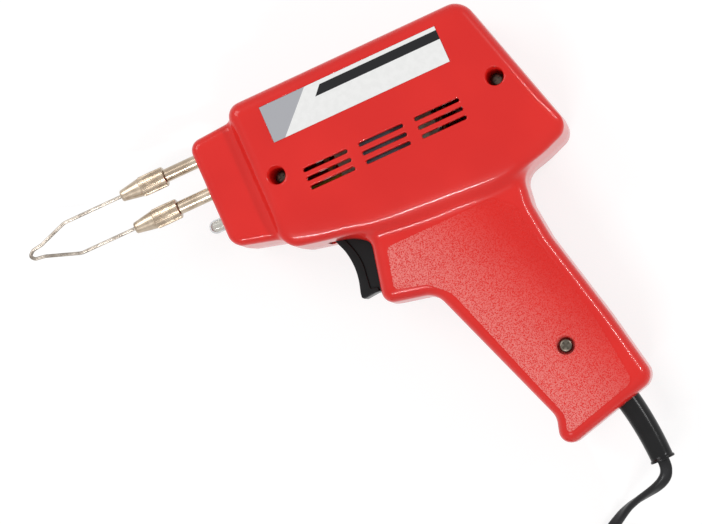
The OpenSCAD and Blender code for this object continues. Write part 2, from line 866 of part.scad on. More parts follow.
module lamp_lens() {
    tube_front = nose_front - lens_reach + lens_d / 2;
    flange_x = nose_front + wall + loose;
    color([0.92, 0.93, 0.95, 0.5])
    difference() {
        union() {
            along_x(tube_front, flange_x + lens_flange, lens_d, lamp_y);
            along_x(flange_x, flange_x + lens_flange, lens_flange_d, lamp_y);
            translate([tube_front, lamp_y, mid])
                sphere(d = lens_d);
        }
        along_x(tube_front, flange_x + lens_flange + over, lens_d - 2 * lens_wall, lamp_y);
        translate([tube_front, lamp_y, mid])
            sphere(d = lens_d - 2 * lens_wall);
    }
}

module lamp_bulb() {
    front = nose_front - lens_reach + lens_d / 2;
    glass_len = holder_x - front;
    color([0.95, 0.93, 0.85, 0.7])
    union() {
        translate([front, lamp_y, mid])
            sphere(d = bulb_d);
        along_x(front, front + glass_len, bulb_d, lamp_y);
        along_x(front + glass_len - over, front + bulb_len, bulb_base_d, lamp_y);
    }
}

// A bar across the nose that carries the lamp
module lamp_holder() {
    color([0.88, 0.87, 0.82])
    difference() {
        translate([holder_x, lamp_y - holder_w / 2, mid - nose_thick / 2 + wall])
            cube([holder_t, holder_w, nose_thick - 2 * wall]);
        along_x(holder_x - over, holder_x + holder_t + over, bulb_base_d + 2 * run, lamp_y);
    }
}

module lamp_leads() {
    to = core_x - stack / 2 - bobbin_out;
    color([0.85, 0.8, 0.2])
    for (side = [0, 1]) {
        along_x(holder_x + holder_t, to, lead_d, core_y - limb / 2 - bobbin_out + lead_d,
            window_high - bobbin_t - lead_d - side * lead_gap);
    }
}

module prism(shares, width) {
    translate([pivot.x, pivot.y, mid - width / 2])
        linear_extrude(height = width)
            polygon([for (s = shares) s * trigger_drop]);
}

module trigger() {
    color([0.09, 0.09, 0.1])
    difference() {
        union() {
            prism(lip_shares, trigger_w);
            prism(web_shares, web_w);
            translate([pivot.x, pivot.y, mid - trigger_w / 2])
                cylinder(h = trigger_w, d = hub_d);
        }
        translate([pivot.x, pivot.y, 0])
            cylinder(h = 2 * mid, d = pin_d + 2 * run);
    }
}

module trigger_pin() {
    color([0.8, 0.8, 0.8])
    translate([pivot.x, pivot.y, mid - pin_half_len])
        cylinder(h = 2 * pin_half_len, d = pin_d);
}

// The spring's envelope, a plain tube as wide as its turns
module trigger_spring() {
    color([0.7, 0.7, 0.72])
    difference() {
        along_x(spring_x, spring_x + spring_len, spring_d, spring_y);
        along_x(spring_x - over, spring_x + spring_len + over, spring_d - 2 * spring_wire, spring_y);
    }
}

function switch_screw_places() =
    placed(switch_screw_shares, [switch_x, switch_low], [switch_deep, switch_len]);

module switch_body() {
    color([0.13, 0.13, 0.15])
    difference() {
        translate([switch_x, switch_low, mid - switch_w / 2])
            cube([switch_deep, switch_len, switch_w]);
        along_x(switch_x - over, switch_x + plunger_in + plunger_travel, plunger_d + 2 * run, plunger_y);
        for (place = switch_screw_places()) {
            translate([place.x, place.y, 0])
                cylinder(h = 2 * mid, d = small_screw_d + 2 * seat);
        }
    }
}

module switch_plunger() {
    color([0.75, 0.12, 0.1])
    along_x(plunger_rest_x, switch_x + plunger_in, plunger_d, plunger_y);
}

function blade_end(i) = [switch_x + switch_deep + blade_len, switch_low + switch_len * blade_shares[i], mid];

module switch_terminals() {
    color([0.82, 0.7, 0.4])
    for (i = [0, 1]) {
        translate(blade_end(i) - [blade_len, blade_t / 2, blade_w / 2])
            cube([blade_len, blade_t, blade_w]);
    }
}

module switch_screws() {
    top = mid + switch_w / 2;
    color([0.78, 0.78, 0.76])
    for (place = switch_screw_places()) {
        translate([place.x, place.y, top])
            screw(top - mid + small_grip - over, small_screw_d, small_head_d, small_head_t);
    }
}

function block_screw_places() = [[block_low.x + block_size.x / 2, block_low.y + block_size.y / 2]];

module terminal_block() {
    color([0.92, 0.9, 0.84])
    difference() {
        translate([block_low.x, block_low.y, block_z])
            cube(block_size);
        translate([block_screw_places()[0].x, block_screw_places()[0].y, 0])
            cylinder(h = 2 * mid, d = small_screw_d + 2 * seat);
    }
}

module terminal_screws() {
    top = block_z + block_size.z;
    color([0.8, 0.78, 0.7])
    translate([block_screw_places()[0].x, block_screw_places()[0].y, top])
        screw(top - mid + small_grip - over, small_screw_d, small_head_d, small_head_t);
}

function on_bend(angle, offset = 0) = [
    bend_centre.x + (relief_bend + offset) * cos(angle),
    bend_centre.y + (relief_bend + offset) * sin(angle)
];

// Supply wires from the end of the cord's sheath to the terminal block and the switch
module supply_leads() {
    start = [on_bend(lead_angle).x, on_bend(lead_angle).y, mid];
    aside = [core_wire_d * 0.6, 0, 0];
    block_face = [block_low.x + block_size.x, block_low.y + block_size.y / 2, mid];
    block_corner = [block_low.x + block_size.x, block_low.y, mid];
    color([0.2, 0.35, 0.7]) {
        wire([
            start + aside,
            start + supply_bends[0],
            block_face + supply_bends[1],
            block_face + supply_bends[2],
            block_face
        ], core_wire_d);
        wire([
            start - aside,
            start + supply_bends[3],
            block_corner + supply_bends[4],
            block_corner + supply_bends[5],
            blade_end(0) + supply_bends[6],
            blade_end(0) + supply_bends[7],
            blade_end(0)
        ], core_wire_d);
    }
}

// Wires from the switch and the terminal block up to the primary winding
module primary_leads() {
    reach = core_x + stack / 2 + bobbin_out;
    below = core_y - 1.5 * limb;
    low = window_low + bobbin_t / 2;
    high = window_high - bobbin_t / 2;
    block_end = [block_low.x + block_size.x / 2, block_low.y + block_size.y, mid + block_size.z / 4];
    color([0.45, 0.28, 0.16]) {
        wire([
            blade_end(1),
            blade_end(1) + primary_bends[0],
            [reach, below, low] + primary_bends[1],
            [reach, core_y, low] + primary_bends[2],
            [reach, core_y, low]
        ], core_wire_d);
        wire([
            block_end,
            block_end + primary_bends[3],
            block_end + primary_bends[4],
            [reach, below, high] + primary_bends[1],
            [reach, core_y, high] + primary_bends[2],
            [reach, core_y, high]
        ], core_wire_d);
    }
}

function clamp_place(side) = on_bend(clamp_angle, side * clamp_pitch / 2);

module cord_clamp() {
    color([0.92, 0.9, 0.84])
    difference() {
        translate([clamp_place(0).x, clamp_place(0).y, mid + cord_t / 2])
            rotate([0, 0, clamp_angle])
                translate([-clamp_len / 2, -clamp_w / 2, 0])
                    cube([clamp_len, clamp_w, clamp_t]);
        for (side = [-1, 1]) {
            translate([clamp_place(side).x, clamp_place(side).y, 0])
                cylinder(h = 2 * mid, d = small_screw_d + 2 * seat);
        }
    }
}

module clamp_screws() {
    top = mid + cord_t / 2 + clamp_t;
    color([0.78, 0.78, 0.76])
    for (side = [-1, 1]) {
        translate([clamp_place(side).x, clamp_place(side).y, top])
            screw(top - mid + small_grip - over, small_screw_d, small_head_d, small_head_t);
    }
}

module strain_relief() {
    last = relief_angle + relief_in_angle;
    color([0.1, 0.1, 0.11])
    difference() {
        union() {
            bent(last)
                circle(d = relief_d);
            bent(last, last - flange_angle)
                circle(d = relief_flange_d);
        }
        bent(last + flange_angle, -flange_angle)
            offset_section();
    }
}

// Section of the cord with a small gap all round, made of the same square and circles
module offset_section() {
    square([cord_w - cord_t, cord_t + 2 * run], center = true);
    for (side = [-1, 1]) {
        translate([side * (cord_w - cord_t) / 2, 0])
            circle(d = cord_t + 2 * run, $fn = 24);
    }
}

module cord_inner() {
    color([0.08, 0.08, 0.09])
    bent(inner_angle)
        cord_section();
}

// One ring of the flat cord: its wide way turned by the roll about the route
function ring(p, along, roll, sides, wide, thick) =
    let (
        side = [along.y, -along.x, 0] / norm([along.x, along.y]),
        up = cross(side, along) / norm(cross(side, along)),
        broad = cos(roll) * side + sin(roll) * up,
        thin = cos(roll) * up - sin(roll) * side
    )
    [for (k = [0:sides - 1])
        let (a = 360 * k / sides)
        p + broad * wide / 2 * cos(a) - thin * thick / 2 * sin(a)];
function heading(path, i) =
    let (
        a = path[max(i - 1, 0)],
        b = path[min(i + 1, len(path) - 1)]
    )
    (b - a) / norm(b - a);

module swept(path, rolls, sides, wide, thick) {
    last = len(path) - 1;
    rings = [for (i = [0:last]) ring(path[i], heading(path, i), rolls[i], sides, wide, thick)];
    quads = [for (k = [0:last - 1]) for (i = [0:sides - 1])
        let (j = (i + 1) % sides)
        each [[k * sides + i, (k + 1) * sides + i, (k + 1) * sides + j],
            [k * sides + i, (k + 1) * sides + j, k * sides + j]]];
    first_cap = [for (i = [1:sides - 2]) [0, i, i + 1]];
    last_cap = [for (i = [1:sides - 2]) [last * sides, last * sides + i + 1, last * sides + i]];
    polyhedron(points = [for (r = rings) each r], faces = concat(quads, first_cap, last_cap));
}

module mains_cord() {
    color([0.08, 0.08, 0.09])
    swept(cord_route, cord_rolls, 8, cord_w, cord_t);
}

// The coil spirals in on the floor, climbs in half a turn and spirals out again above
function coil_radius(t) =
    let (
        core = coil_out - coil_pitch * coil_loops,
        past = t - coil_loops
    )
    past < 0.5 ? coil_out - coil_pitch * t
    : past < 1 ? core + coil_pitch * (3 * past - 2)
    : core + coil_pitch * past;
function climb(f) = (1 - cos(180 * min(max(f, 0), 1))) / 2;
function coil_point(t) = [
    coil_centre.x + coil_radius(t) * cos(-360 * t),
    coil_centre.y + coil_radius(t) * sin(-360 * t),
    coil_low + coil_rise * climb(2 * (t - coil_loops))
];
coil_path = concat(
    [for (i = [0:coil_turns * loop_steps]) coil_point(i / loop_steps)],
    tail_route
);
coil_rolls = concat([for (i = [0:coil_turns * loop_steps]) 270], tail_rolls);

// The least gap between turns, taken between points half a loop or more apart
function turn_gap(a, b) = max(norm([a.x - b.x, a.y - b.y]) - cord_t, abs(a.z - b.z) - cord_w);
least_gap = min([for (i = [0:len(coil_path) - 1]) for (j = [i + loop_steps / 2:1:len(coil_path) - 1])
    turn_gap(coil_path[i], coil_path[j])]);

module cord_coil() {
    echo(least_gap_of_the_coil_mm = least_gap);
    color([0.08, 0.08, 0.09])
    swept(coil_path, coil_rolls, 6, cord_w, cord_t);
}

module coil_tie() {
    inner = [coil_in - cord_t / 2 - tie_gap, coil_out + cord_t / 2 + tie_gap];
    tall = 2 * tie_gap + coil_rise + cord_w;
    low = coil_low - cord_w / 2 - tie_gap;
    color([0.15, 0.15, 0.16])
    translate([coil_centre.x, coil_centre.y, low])
        difference() {
            translate([-tie_w / 2, -inner[1] - tie_t, -tie_t + tie_gap])
                cube([tie_w, inner[1] - inner[0] + 2 * tie_t, tall + 2 * tie_t - tie_gap]);
            translate([-tie_w / 2 - over, -inner[1], tie_gap])
                cube([tie_w + 2 * over, inner[1] - inner[0], tall - tie_gap]);
        }
}

// A flat two-pin plug that lies on its broad side
module plug_body() {
    neck_x = plug_back.x - plug_neck;
    front_x = plug_back.x - plug_len;
    z = plug_t / 2;
    color([0.08, 0.08, 0.09])
    difference() {
        union() {
            along_x(neck_x - plug_round, plug_back.x, plug_neck_d, plug_back.y, z, plug_neck_d * neck_share);
            hull() {
                for (side = [-1, 1]) {
                    for (x = [neck_x - plug_round, front_x + plug_round]) {
                        w = x < neck_x - plug_round ? plug_w : plug_w * plug_back_share;
                        translate([x, plug_back.y + side * (w / 2 - plug_round), z])
                            cylinder(h = plug_t, r = plug_round, center = true, $fn = hull_fn);
                    }
                    translate([(neck_x + front_x) / 2, plug_back.y + side * (plug_w / 2 - plug_round), z])
                        cylinder(h = plug_t, r = plug_round, center = true, $fn = hull_fn);
                }
                translate([front_x, plug_back.y - plug_w / 2 + plug_round, 0])
                    cube([plug_round, plug_w - 2 * plug_round, plug_t]);
            }
        }
        for (side = [-1, 1]) {
            along_x(front_x - over, front_x + plug_pin_in, plug_root_d + 2 * run,
                plug_back.y + side * plug_pin_gap / 2, z);
        }
    }
}

module plug_pins() {
    front_x = plug_back.x - plug_len;
    color([0.85, 0.85, 0.83])
    for (side = [-1, 1]) {
        y = plug_back.y + side * plug_pin_gap / 2;
        along_x(front_x - plug_pin_len, front_x, plug_pin_d, y, plug_t / 2);
        along_x(front_x - over, front_x + plug_pin_in, plug_root_d, y, plug_t / 2);
    }
}

housing_left();
housing_right();
rating_plate();
housing_screws();
core_e_sheets();
core_i_sheets();
coil_bobbin();
primary_winding();
winding_wrap();
secondary_strap();
upper_conductor();
lower_conductor();
nose_block();
upper_collet_nut();
lower_collet_nut();
tip_wire();
lamp_lens();
lamp_bulb();
lamp_holder();
lamp_leads();
trigger();
trigger_pin();
trigger_spring();
switch_body();
switch_plunger();
switch_terminals();
switch_screws();
terminal_block();
terminal_screws();
supply_leads();
primary_leads();
cord_clamp();
clamp_screws();
strain_relief();
cord_inner();
mains_cord();
cord_coil();
coil_tie();
plug_body();
plug_pins();
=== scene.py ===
# Instant-heat soldering iron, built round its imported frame: finer pieces, finishes, light and camera.
import math

import bmesh
import bpy
import numpy as np
from mathutils import Matrix, Vector


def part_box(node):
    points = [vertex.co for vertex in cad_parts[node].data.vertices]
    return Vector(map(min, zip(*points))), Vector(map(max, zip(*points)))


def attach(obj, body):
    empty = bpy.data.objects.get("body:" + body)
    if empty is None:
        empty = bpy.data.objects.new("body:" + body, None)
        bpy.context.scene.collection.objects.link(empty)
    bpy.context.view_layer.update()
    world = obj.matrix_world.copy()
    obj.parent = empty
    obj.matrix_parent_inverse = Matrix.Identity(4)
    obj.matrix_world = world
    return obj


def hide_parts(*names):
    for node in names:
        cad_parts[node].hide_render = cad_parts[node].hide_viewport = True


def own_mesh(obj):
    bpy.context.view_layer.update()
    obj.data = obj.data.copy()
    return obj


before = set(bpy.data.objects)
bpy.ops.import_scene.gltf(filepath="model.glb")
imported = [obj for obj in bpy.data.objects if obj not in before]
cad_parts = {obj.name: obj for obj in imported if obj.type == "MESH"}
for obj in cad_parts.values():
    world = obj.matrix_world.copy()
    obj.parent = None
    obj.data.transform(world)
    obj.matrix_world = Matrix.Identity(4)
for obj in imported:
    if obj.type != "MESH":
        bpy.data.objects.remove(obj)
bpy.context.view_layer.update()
mm = 0.001
mid = 27.0  # height of the parting plane, in mm as every size below


# camera

cameraPlan = {
    "place": (97.3, -153.67, 1113.86),
    "imageWide": 702,  # in pixels, as the next two
    "focal": 2444.0,
    "plumbPoint": (379.0, 83.0),  # where upright lines meet, from the middle of the image
    "turn": 23.73,  # how far the gun's length leans in the image
    "clip": (0.01, 20),
}


def makeCamera(plan):
    toFloor = Vector((*[p / plan["focal"] for p in plan["plumbPoint"]], 1)).normalized()
    turn = math.radians(plan["turn"])
    lengthWay = Vector((math.cos(turn), -math.sin(turn), 0))
    lengthWay = (lengthWay - toFloor * lengthWay.dot(toFloor)).normalized()
    up = -toFloor
    viewToWorld = Matrix((lengthWay, up.cross(lengthWay), up)) @ Matrix.Diagonal((1, -1, -1))
    data = bpy.data.cameras.new("studioCamera")
    data.sensor_width = 36
    data.lens = plan["focal"] * data.sensor_width / plan["imageWide"]
    data.clip_start, data.clip_end = plan["clip"]
    camera = bpy.data.objects.new("studioCamera", data)
    camera.matrix_world = Matrix.Translation(Vector(plan["place"]) * mm) @ viewToWorld.to_4x4()
    bpy.context.scene.collection.objects.link(camera)
    bpy.context.scene.camera = camera


makeCamera(cameraPlan)
print("camera placed")


# mesh helpers

def meshObject(name, points, faces):
    mesh = bpy.data.meshes.new(name)
    mesh.from_pydata([Vector(p) * mm for p in points], [], [list(map(int, f)) for f in faces])
    mesh.polygons.foreach_set("use_smooth", [True] * len(mesh.polygons))
    piece = bpy.data.objects.new(name, mesh)
    bpy.context.scene.collection.objects.link(piece)
    return piece


def sweep(name, path, sections):
    # path: points; sections: one list of (side, up) offsets for each point
    path = [Vector(p) for p in path]
    last = len(path) - 1
    n = len(sections[0])
    points, faces = [], []
    for i, p in enumerate(path):
        along = (path[min(i + 1, last)] - path[max(i - 1, 0)]).normalized()
        side = Vector((along.y, -along.x, 0))
        side = side.normalized() if side.length > 1e-6 else Vector((1, 0, 0))
        up = side.cross(along).normalized()
        points += [p + side * a + up * b for a, b in sections[i]]
    for k in range(last):
        for i in range(n):
            j = (i + 1) % n
            faces.append((k * n + i, k * n + j, (k + 1) * n + j, (k + 1) * n + i))
    faces += [tuple(range(n))[::-1], tuple(last * n + i for i in range(n))]
    piece = meshObject(name, points, faces)
    faceOutwards(piece)
    return piece


def faceOutwards(piece, shortEdges=0.0):
    # merges doubled points, melts edges up to a length in metres and turns the faces outwards
    mesh = bmesh.new()
    mesh.from_mesh(piece.data)
    bmesh.ops.remove_doubles(mesh, verts=mesh.verts, dist=1e-7)
    if shortEdges:
        bmesh.ops.dissolve_degenerate(mesh, edges=mesh.edges, dist=shortEdges)
    bmesh.ops.recalc_face_normals(mesh, faces=mesh.faces)
    mesh.to_mesh(piece.data)
    mesh.free()


def bake(piece):
    # the piece with its modifiers applied
    baked = bpy.data.meshes.new_from_object(piece.evaluated_get(bpy.context.evaluated_depsgraph_get()))
    piece.modifiers.clear()
    piece.data = baked
    return piece


def joined(pieces):
    with bpy.context.temp_override(active_object=pieces[0], selected_editable_objects=pieces):
        bpy.ops.object.join()
    return pieces[0]


def twin(piece, name):
    other = piece.copy()
    other.data = piece.data.copy()
    other.name = name
    bpy.context.scene.collection.objects.link(other)
    return other


def ringPoints(across, up, sides):
    # an ellipse's points, from its two half sizes
    angles = [2 * math.pi * k / sides for k in range(sides)]
    return [(across * math.cos(a), up * math.sin(a)) for a in angles]


def smoothLine(points, steps):
    # a soft curve through the points, with equal shares of each gap
    pts = [Vector(p) for p in points]
    out = []
    for i in range(len(pts) - 1):
        a, b, c, d = pts[max(i - 1, 0)], pts[i], pts[i + 1], pts[min(i + 2, len(pts) - 1)]
        for k in range(steps):
            t = k / steps
            out.append(0.5 * ((2 * b) + (c - a) * t + (2 * a - 5 * b + 4 * c - d) * t * t
                              + (3 * b - a - 3 * c + d) * t ** 3))
    return out + [pts[-1]]


# cord

cordPlan = {
    "wide": 5.4,
    "thick": 3.3,
    "exit": (50.0, -188.0, 27.0),
    "low": 3.6,
    "steps": [(0, 0), (0, -1.5), (-0.4, -4), (-1.8, -6.6), (-4.4, -8.6), (-8, -10), (-12.5, -11), (-17.5, -12),
              (-22.5, -13.4), (-27.5, -15.6), (-32.5, -18.4), (-37.5, -21.4), (-42.5, -24.4), (-47, -27.4),
              (-51, -30.6), (-54.6, -33.6), (-57.2, -37.2), (-57.95, -40.7)],
    "heightShares": [1, 1, 0.9915, 0.9658, 0.9145, 0.8291, 0.6923, 0.5299, 0.3761, 0.2308, 0.1111, 0.0427, 0.0085,
                     0, 0, 0, 0, 0],
    "rolls": [0, 0, 6, 18, 34, 52, 70, 86, 104, 128, 150, 172, 192, 212, 230, 248, 262, 270],
    "fineSteps": 6,
    "sides": 20,
    "squareness": (0.8, 0.72),  # 1 gives an ellipse, less a fuller shape
    "waist": 0.09,
    "waistWide": 0.7,
}
coilPlan = {
    "centre": (-44.0, -229.0),
    "outer": 36.0,
    "pitch": 3.8,
    "loops": 4,
    "rise": 5.9,
    "stepsALoop": 48,
    "roll": 270,
    "fineSteps": 4,
    "tailSteps": [(0, 3.5), (-0.3, 7), (-1.1, 11.5), (-2.9, 16), (-5.8, 20.2), (-9.5, 24), (-13.9, 27),
                  (-18.9, 29.2), (-23.9, 30), (-26.9, 30)],
    "tailHeights": [9.5, 9.5, 9.5, 8.98, 8.4, 7.9, 7.4, 7.1, 6.9, 6.9],
    "tailRolls": [270, 270, 266, 256, 240, 222, 204, 190, 180, 180],
}


def coilPoint(plan, low, t):
    past = t - plan["loops"]
    core = plan["outer"] - plan["pitch"] * plan["loops"]
    if past < 0.5:
        radius = plan["outer"] - plan["pitch"] * t
    elif past < 1:
        radius = core + plan["pitch"] * (3 * past - 2)
    else:
        radius = core + plan["pitch"] * past
    climb = (1 - math.cos(math.pi * min(max(2 * past, 0), 1))) / 2
    angle = -2 * math.pi * t
    cx, cy = plan["centre"]
    return Vector((cx + radius * math.cos(angle), cy + radius * math.sin(angle), low + plan["rise"] * climb))


def smoothRolls(rolls, steps):
    return [v.x for v in smoothLine([(roll, 0, 0) for roll in rolls], steps)]


def cordRoute(plan, coil):
    ex, ey, ez = plan["exit"]
    lead = [(ex + s[0], ey + s[1], plan["low"] + (ez - plan["low"]) * h)
            for s, h in zip(plan["steps"], plan["heightShares"])]
    turns = 2 * coil["loops"] - 0.5
    count = int(turns * coil["stepsALoop"])
    wound = [coilPoint(coil, plan["low"], i / coil["stepsALoop"]) for i in range(count + 1)]
    startX = coil["centre"][0] - (coil["outer"] - coil["pitch"] * 0.5)
    tail = [(startX + s[0], coil["centre"][1] + s[1], h) for s, h in zip(coil["tailSteps"], coil["tailHeights"])]
    # the lead ends a hair before the coil starts, so its last point is left out
    points = smoothLine(lead, plan["fineSteps"])[:-1] + wound
    points += smoothLine([wound[-1]] + tail, coil["fineSteps"])[1:]
    rolls = smoothRolls(plan["rolls"], plan["fineSteps"])[:-1] + [coil["roll"]] * len(wound)
    rolls += smoothRolls([coil["roll"]] + coil["tailRolls"], coil["fineSteps"])[1:]
    return points, rolls


def fuller(value, power):
    return math.copysign(abs(value) ** power, value)


def flatSection(plan, roll):
    # two round cores side by side with a shallow waist between them
    turn = math.radians(roll)
    out = []
    for c, s in ringPoints(1, 1, plan["sides"]):
        x = fuller(c, plan["squareness"][0]) * plan["wide"] / 2
        y = fuller(s, plan["squareness"][1]) * plan["thick"] / 2
        y *= 1 - plan["waist"] * math.exp(-(x / plan["waistWide"]) ** 2)
        out.append((x * math.cos(turn) + y * math.sin(turn), x * math.sin(turn) - y * math.cos(turn)))
    return out


cordPoints, cordRolls = cordRoute(cordPlan, coilPlan)
cord = sweep("cord", cordPoints, [flatSection(cordPlan, roll) for roll in cordRolls])
cordLength = sum((b - a).length for a, b in zip(cordPoints, cordPoints[1:]))
print("cord swept,", round(cordLength), "mm long")

tiePlan = {
    "wide": 6.0, "thick": 0.8, "gap": 0.35, "round": 1.6, "cornerSteps": 5, "below": 0.1, "sunk": 0.1,
    # shares of its thickness and half width
    "section": [(0, -1), (0.8, -1), (1, -0.86), (1, 0.86), (0.8, 1), (0, 1)],
}


def makeTie(plan, coil, cordSize, low):
    # a flat strap that closes round both layers of the coil where it is nearest the gun's tip
    reachIn = coil["outer"] - coil["pitch"] * (coil["loops"] + 0.5) - cordSize["thick"] / 2 - plan["gap"]
    reachOut = coil["outer"] + cordSize["thick"] / 2 + plan["gap"]
    bottom = low - cordSize["wide"] / 2 - plan["below"]
    top = bottom + coil["rise"] + cordSize["wide"] + 2 * plan["gap"]
    cx, cy = coil["centre"]
    ring = []
    for y, z, ySign, zSign, start in ((-reachOut, bottom, -1, -1, 180), (-reachIn, bottom, 1, -1, 270),
                                      (-reachIn, top, 1, 1, 0), (-reachOut, top, -1, 1, 90)):
        for k in range(plan["cornerSteps"] + 1):
            a = math.radians(start + 90 * k / plan["cornerSteps"])
            ring.append((cy + y - ySign * plan["round"], z - zSign * plan["round"], math.cos(a), math.sin(a)))
    points, faces = [], []
    for y, z, c, s in ring:
        for grow, x in plan["section"]:
            radius = plan["round"] + plan["thick"] * grow - plan["sunk"]
            points.append((cx + x * plan["wide"] / 2, y + c * radius, z + s * radius))
    n, m = len(ring), len(plan["section"])
    for i in range(n):
        j = (i + 1) % n
        faces += [(i * m + k, i * m + (k + 1) % m, j * m + (k + 1) % m, j * m + k) for k in range(m)]
    tie = meshObject("coilTie", points, faces)
    faceOutwards(tie)
    return tie


coilTie = makeTie(tiePlan, coilPlan, cordPlan, cordPlan["low"])
print("tie made")


# node wiring

class Signal:
    # a socket that plain sums can be written with
    def __init__(self, wiring, socket):
        self.wiring, self.socket = wiring, socket

    def math(self, operation, *others):
        return self.wiring.add("ShaderNodeMath", {"operation": operation}, dict(enumerate((self, *others))))

    def reflected(self, operation, other):
        return self.wiring.add("ShaderNodeMath", {"operation": operation}, {0: other, 1: self})

    def __add__(self, other):
        return self.math("ADD", other)

    def __radd__(self, other):
        return self.math("ADD", other)

    def __sub__(self, other):
        return self.math("SUBTRACT", other)

    def __rsub__(self, other):
        return self.reflected("SUBTRACT", other)

    def __mul__(self, other):
        return self.math("MULTIPLY", other)

    def __rmul__(self, other):
        return self.math("MULTIPLY", other)

    def __truediv__(self, other):
        return self.math("DIVIDE", other)

    def above(self, low, high):
        # 0 below low, 1 above high, soft between them
        return self.wiring.add("ShaderNodeMapRange", {"interpolation_type": "SMOOTHSTEP"},
                               {"Value": self, "From Min": low, "From Max": high})


class Wiring:
    # one node tree, filled by one method
    def __init__(self, tree):
        self.tree = tree

    def node(self, kind, settings=None, sockets=None):
        node = self.tree.nodes.new(kind)
        for name, value in (settings or {}).items():
            setattr(node, name, value)
        for name, value in (sockets or {}).items():
            if isinstance(value, Signal):
                self.tree.links.new(value.socket, node.inputs[name])
            else:
                node.inputs[name].default_value = value
        return node

    def add(self, kind, settings=None, sockets=None, output=0):
        return Signal(self, self.node(kind, settings, sockets).outputs[output])

    def parts(self, vector):
        node = self.node("ShaderNodeSeparateXYZ", None, {0: vector})
        return [Signal(self, socket) for socket in node.outputs]


def ink(red, green, blue):
    # a colour as it is seen on a screen, made linear
    shares = (red / 255, green / 255, blue / 255)
    return (*[c / 12.92 if c <= 0.04045 else ((c + 0.055) / 1.055) ** 2.4 for c in shares], 1.0)


class Finish(Wiring):
    # a material whose sockets are set by name
    def __init__(self, name, **even):
        self.material = bpy.data.materials.new(name)
        self.material.use_nodes = True
        super().__init__(self.material.node_tree)
        self.tree.nodes.clear()
        self.shader = self.node("ShaderNodeBsdfPrincipled")
        self.ending = self.node("ShaderNodeOutputMaterial", None, {"Surface": Signal(self, self.shader.outputs[0])})
        self.place = self.add("ShaderNodeTexCoord", None, None, "Object")
        for key, value in even.items():
            self.set(key, value)

    def set(self, key, value):
        names = {"colour": "Base Color", "roughness": "Roughness", "metallic": "Metallic", "coat": "Coat Weight",
                 "coatRoughness": "Coat Roughness", "normal": "Normal", "ior": "IOR",
                 "transmission": "Transmission Weight", "specular": "Specular IOR Level"}
        socket = self.shader.inputs[names[key]]
        if isinstance(value, Signal):
            self.tree.links.new(value.socket, socket)
        else:
            socket.default_value = value

    def noise(self, grainSize, detail=3.0, rough=0.5, stretch=(1, 1, 1)):
        # grainSize in mm
        at = self.place
        if stretch != (1, 1, 1):
            at = self.add("ShaderNodeMapping", None, {"Vector": self.place, "Scale": stretch})
        return self.add("ShaderNodeTexNoise", None,
                        {"Vector": at, "Scale": 1 / (grainSize * mm), "Detail": detail, "Roughness": rough})

    def mix(self, share, first, second):
        return self.add("ShaderNodeMix", {"data_type": "RGBA"}, {0: share, 6: first, 7: second}, 2)

    def clouded(self, cloud, dark, light):
        return self.mix(cloud.above(0.3, 0.7), dark, light)

    def bump(self, height, depth, strength=1.0, under=None):
        # depth in mm
        sockets = {"Height": height, "Distance": depth * mm, "Strength": strength}
        if under is not None:
            sockets["Normal"] = under
        return self.add("ShaderNodeBump", None, sockets)


def settle(piece, body, nodes, finish):
    piece.data.materials.clear()
    piece.data.materials.append(finish.material)
    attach(piece, body)
    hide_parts(*nodes)


# finishes

redPlan = {
    "dark": ink(217, 31, 25),
    "light": ink(224, 36, 29),
    "cloud": 38,  # sizes of the moulding's clouds, waves and fine marks, in mm
    "wave": 7,
    "fine": 1.6,
    "waveDepth": 0.06,
    "roughness": 0.24,
    "fineRoughness": 0.07,
    "cloudRoughness": 0.05,
    "specular": 0.2,
    "coat": 0.4,
    "coatRoughness": 0.07,
}
grainPlan = {
    # painted light: pale flecks on the grained panel stand in for sparkling highlights, strongest near the grip's
    # front edge
    "sheenFleck": ink(240, 150, 144),
    "sheenMost": 0.73,
    "sheenLeast": 0.03,
    "sheenFrom": (0.42, 0.62),  # heights of the grain between which the painted highlight flecks set in
    "grain": 0.42,
    "grainShare": 0.75,
    "pit": 0.6,
    "pitShare": 0.35,
    "depth": 0.3,
    "roughness": 0.08,
    "dull": 0.34,  # how much of the coat the grain takes away
    "gripFront": (-25, -60),
    "gripLean": 0.444,
    "gripWide": 62,
    "sheenFade": 0.9,  # the share of the grip's width over which the painted highlight flecks thin out, from its front edge, as light from the upper left would fall
}


def redPlastic(name, grained):
    f = Finish(name, **{key: redPlan[key] for key in ("specular", "coat", "coatRoughness")})
    cloud = f.noise(redPlan["cloud"], 2)
    fine = f.noise(redPlan["fine"], 3)
    base = f.clouded(cloud, redPlan["dark"], redPlan["light"])
    rough = redPlan["roughness"] + fine * redPlan["fineRoughness"] + cloud * redPlan["cloudRoughness"]
    skin = f.bump(f.noise(redPlan["wave"], 2), redPlan["waveDepth"])
    if grained:
        plan = grainPlan
        inside = f.add("ShaderNodeAttribute", {"attribute_name": "panelInset"}, None, "Fac").above(-0.1, 0.9)
        pits = f.add("ShaderNodeTexVoronoi", {"feature": "SMOOTH_F1"},
                     {"Vector": f.place, "Scale": 1 / (plan["pit"] * mm), "Smoothness": 0.3})
        f.set("coat", redPlan["coat"] - inside * plan["dull"])
        grain = (f.noise(plan["grain"], 2.5, 0.6) * plan["grainShare"] + pits * plan["pitShare"]) * inside
        # painted light: the flecks are painted highlights that fade from the grip's front edge towards its back
        x, y, z = f.parts(f.place)
        frontX, frontY = plan["gripFront"]
        across = (x / mm - frontX + (y / mm - frontY) * plan["gripLean"]) / plan["gripWide"]
        paintedLight = 1 - across.above(0, plan["sheenFade"])
        fleckSheen = paintedLight * (plan["sheenMost"] - plan["sheenLeast"]) + plan["sheenLeast"]
        base = f.mix(inside * grain.above(*plan["sheenFrom"]) * fleckSheen, base, plan["sheenFleck"])
        rough = rough + inside * plan["roughness"]
        skin = f.bump(grain, plan["depth"], 1.0, skin)
    f.set("colour", base)
    f.set("roughness", rough)
    f.set("normal", skin)
    return f


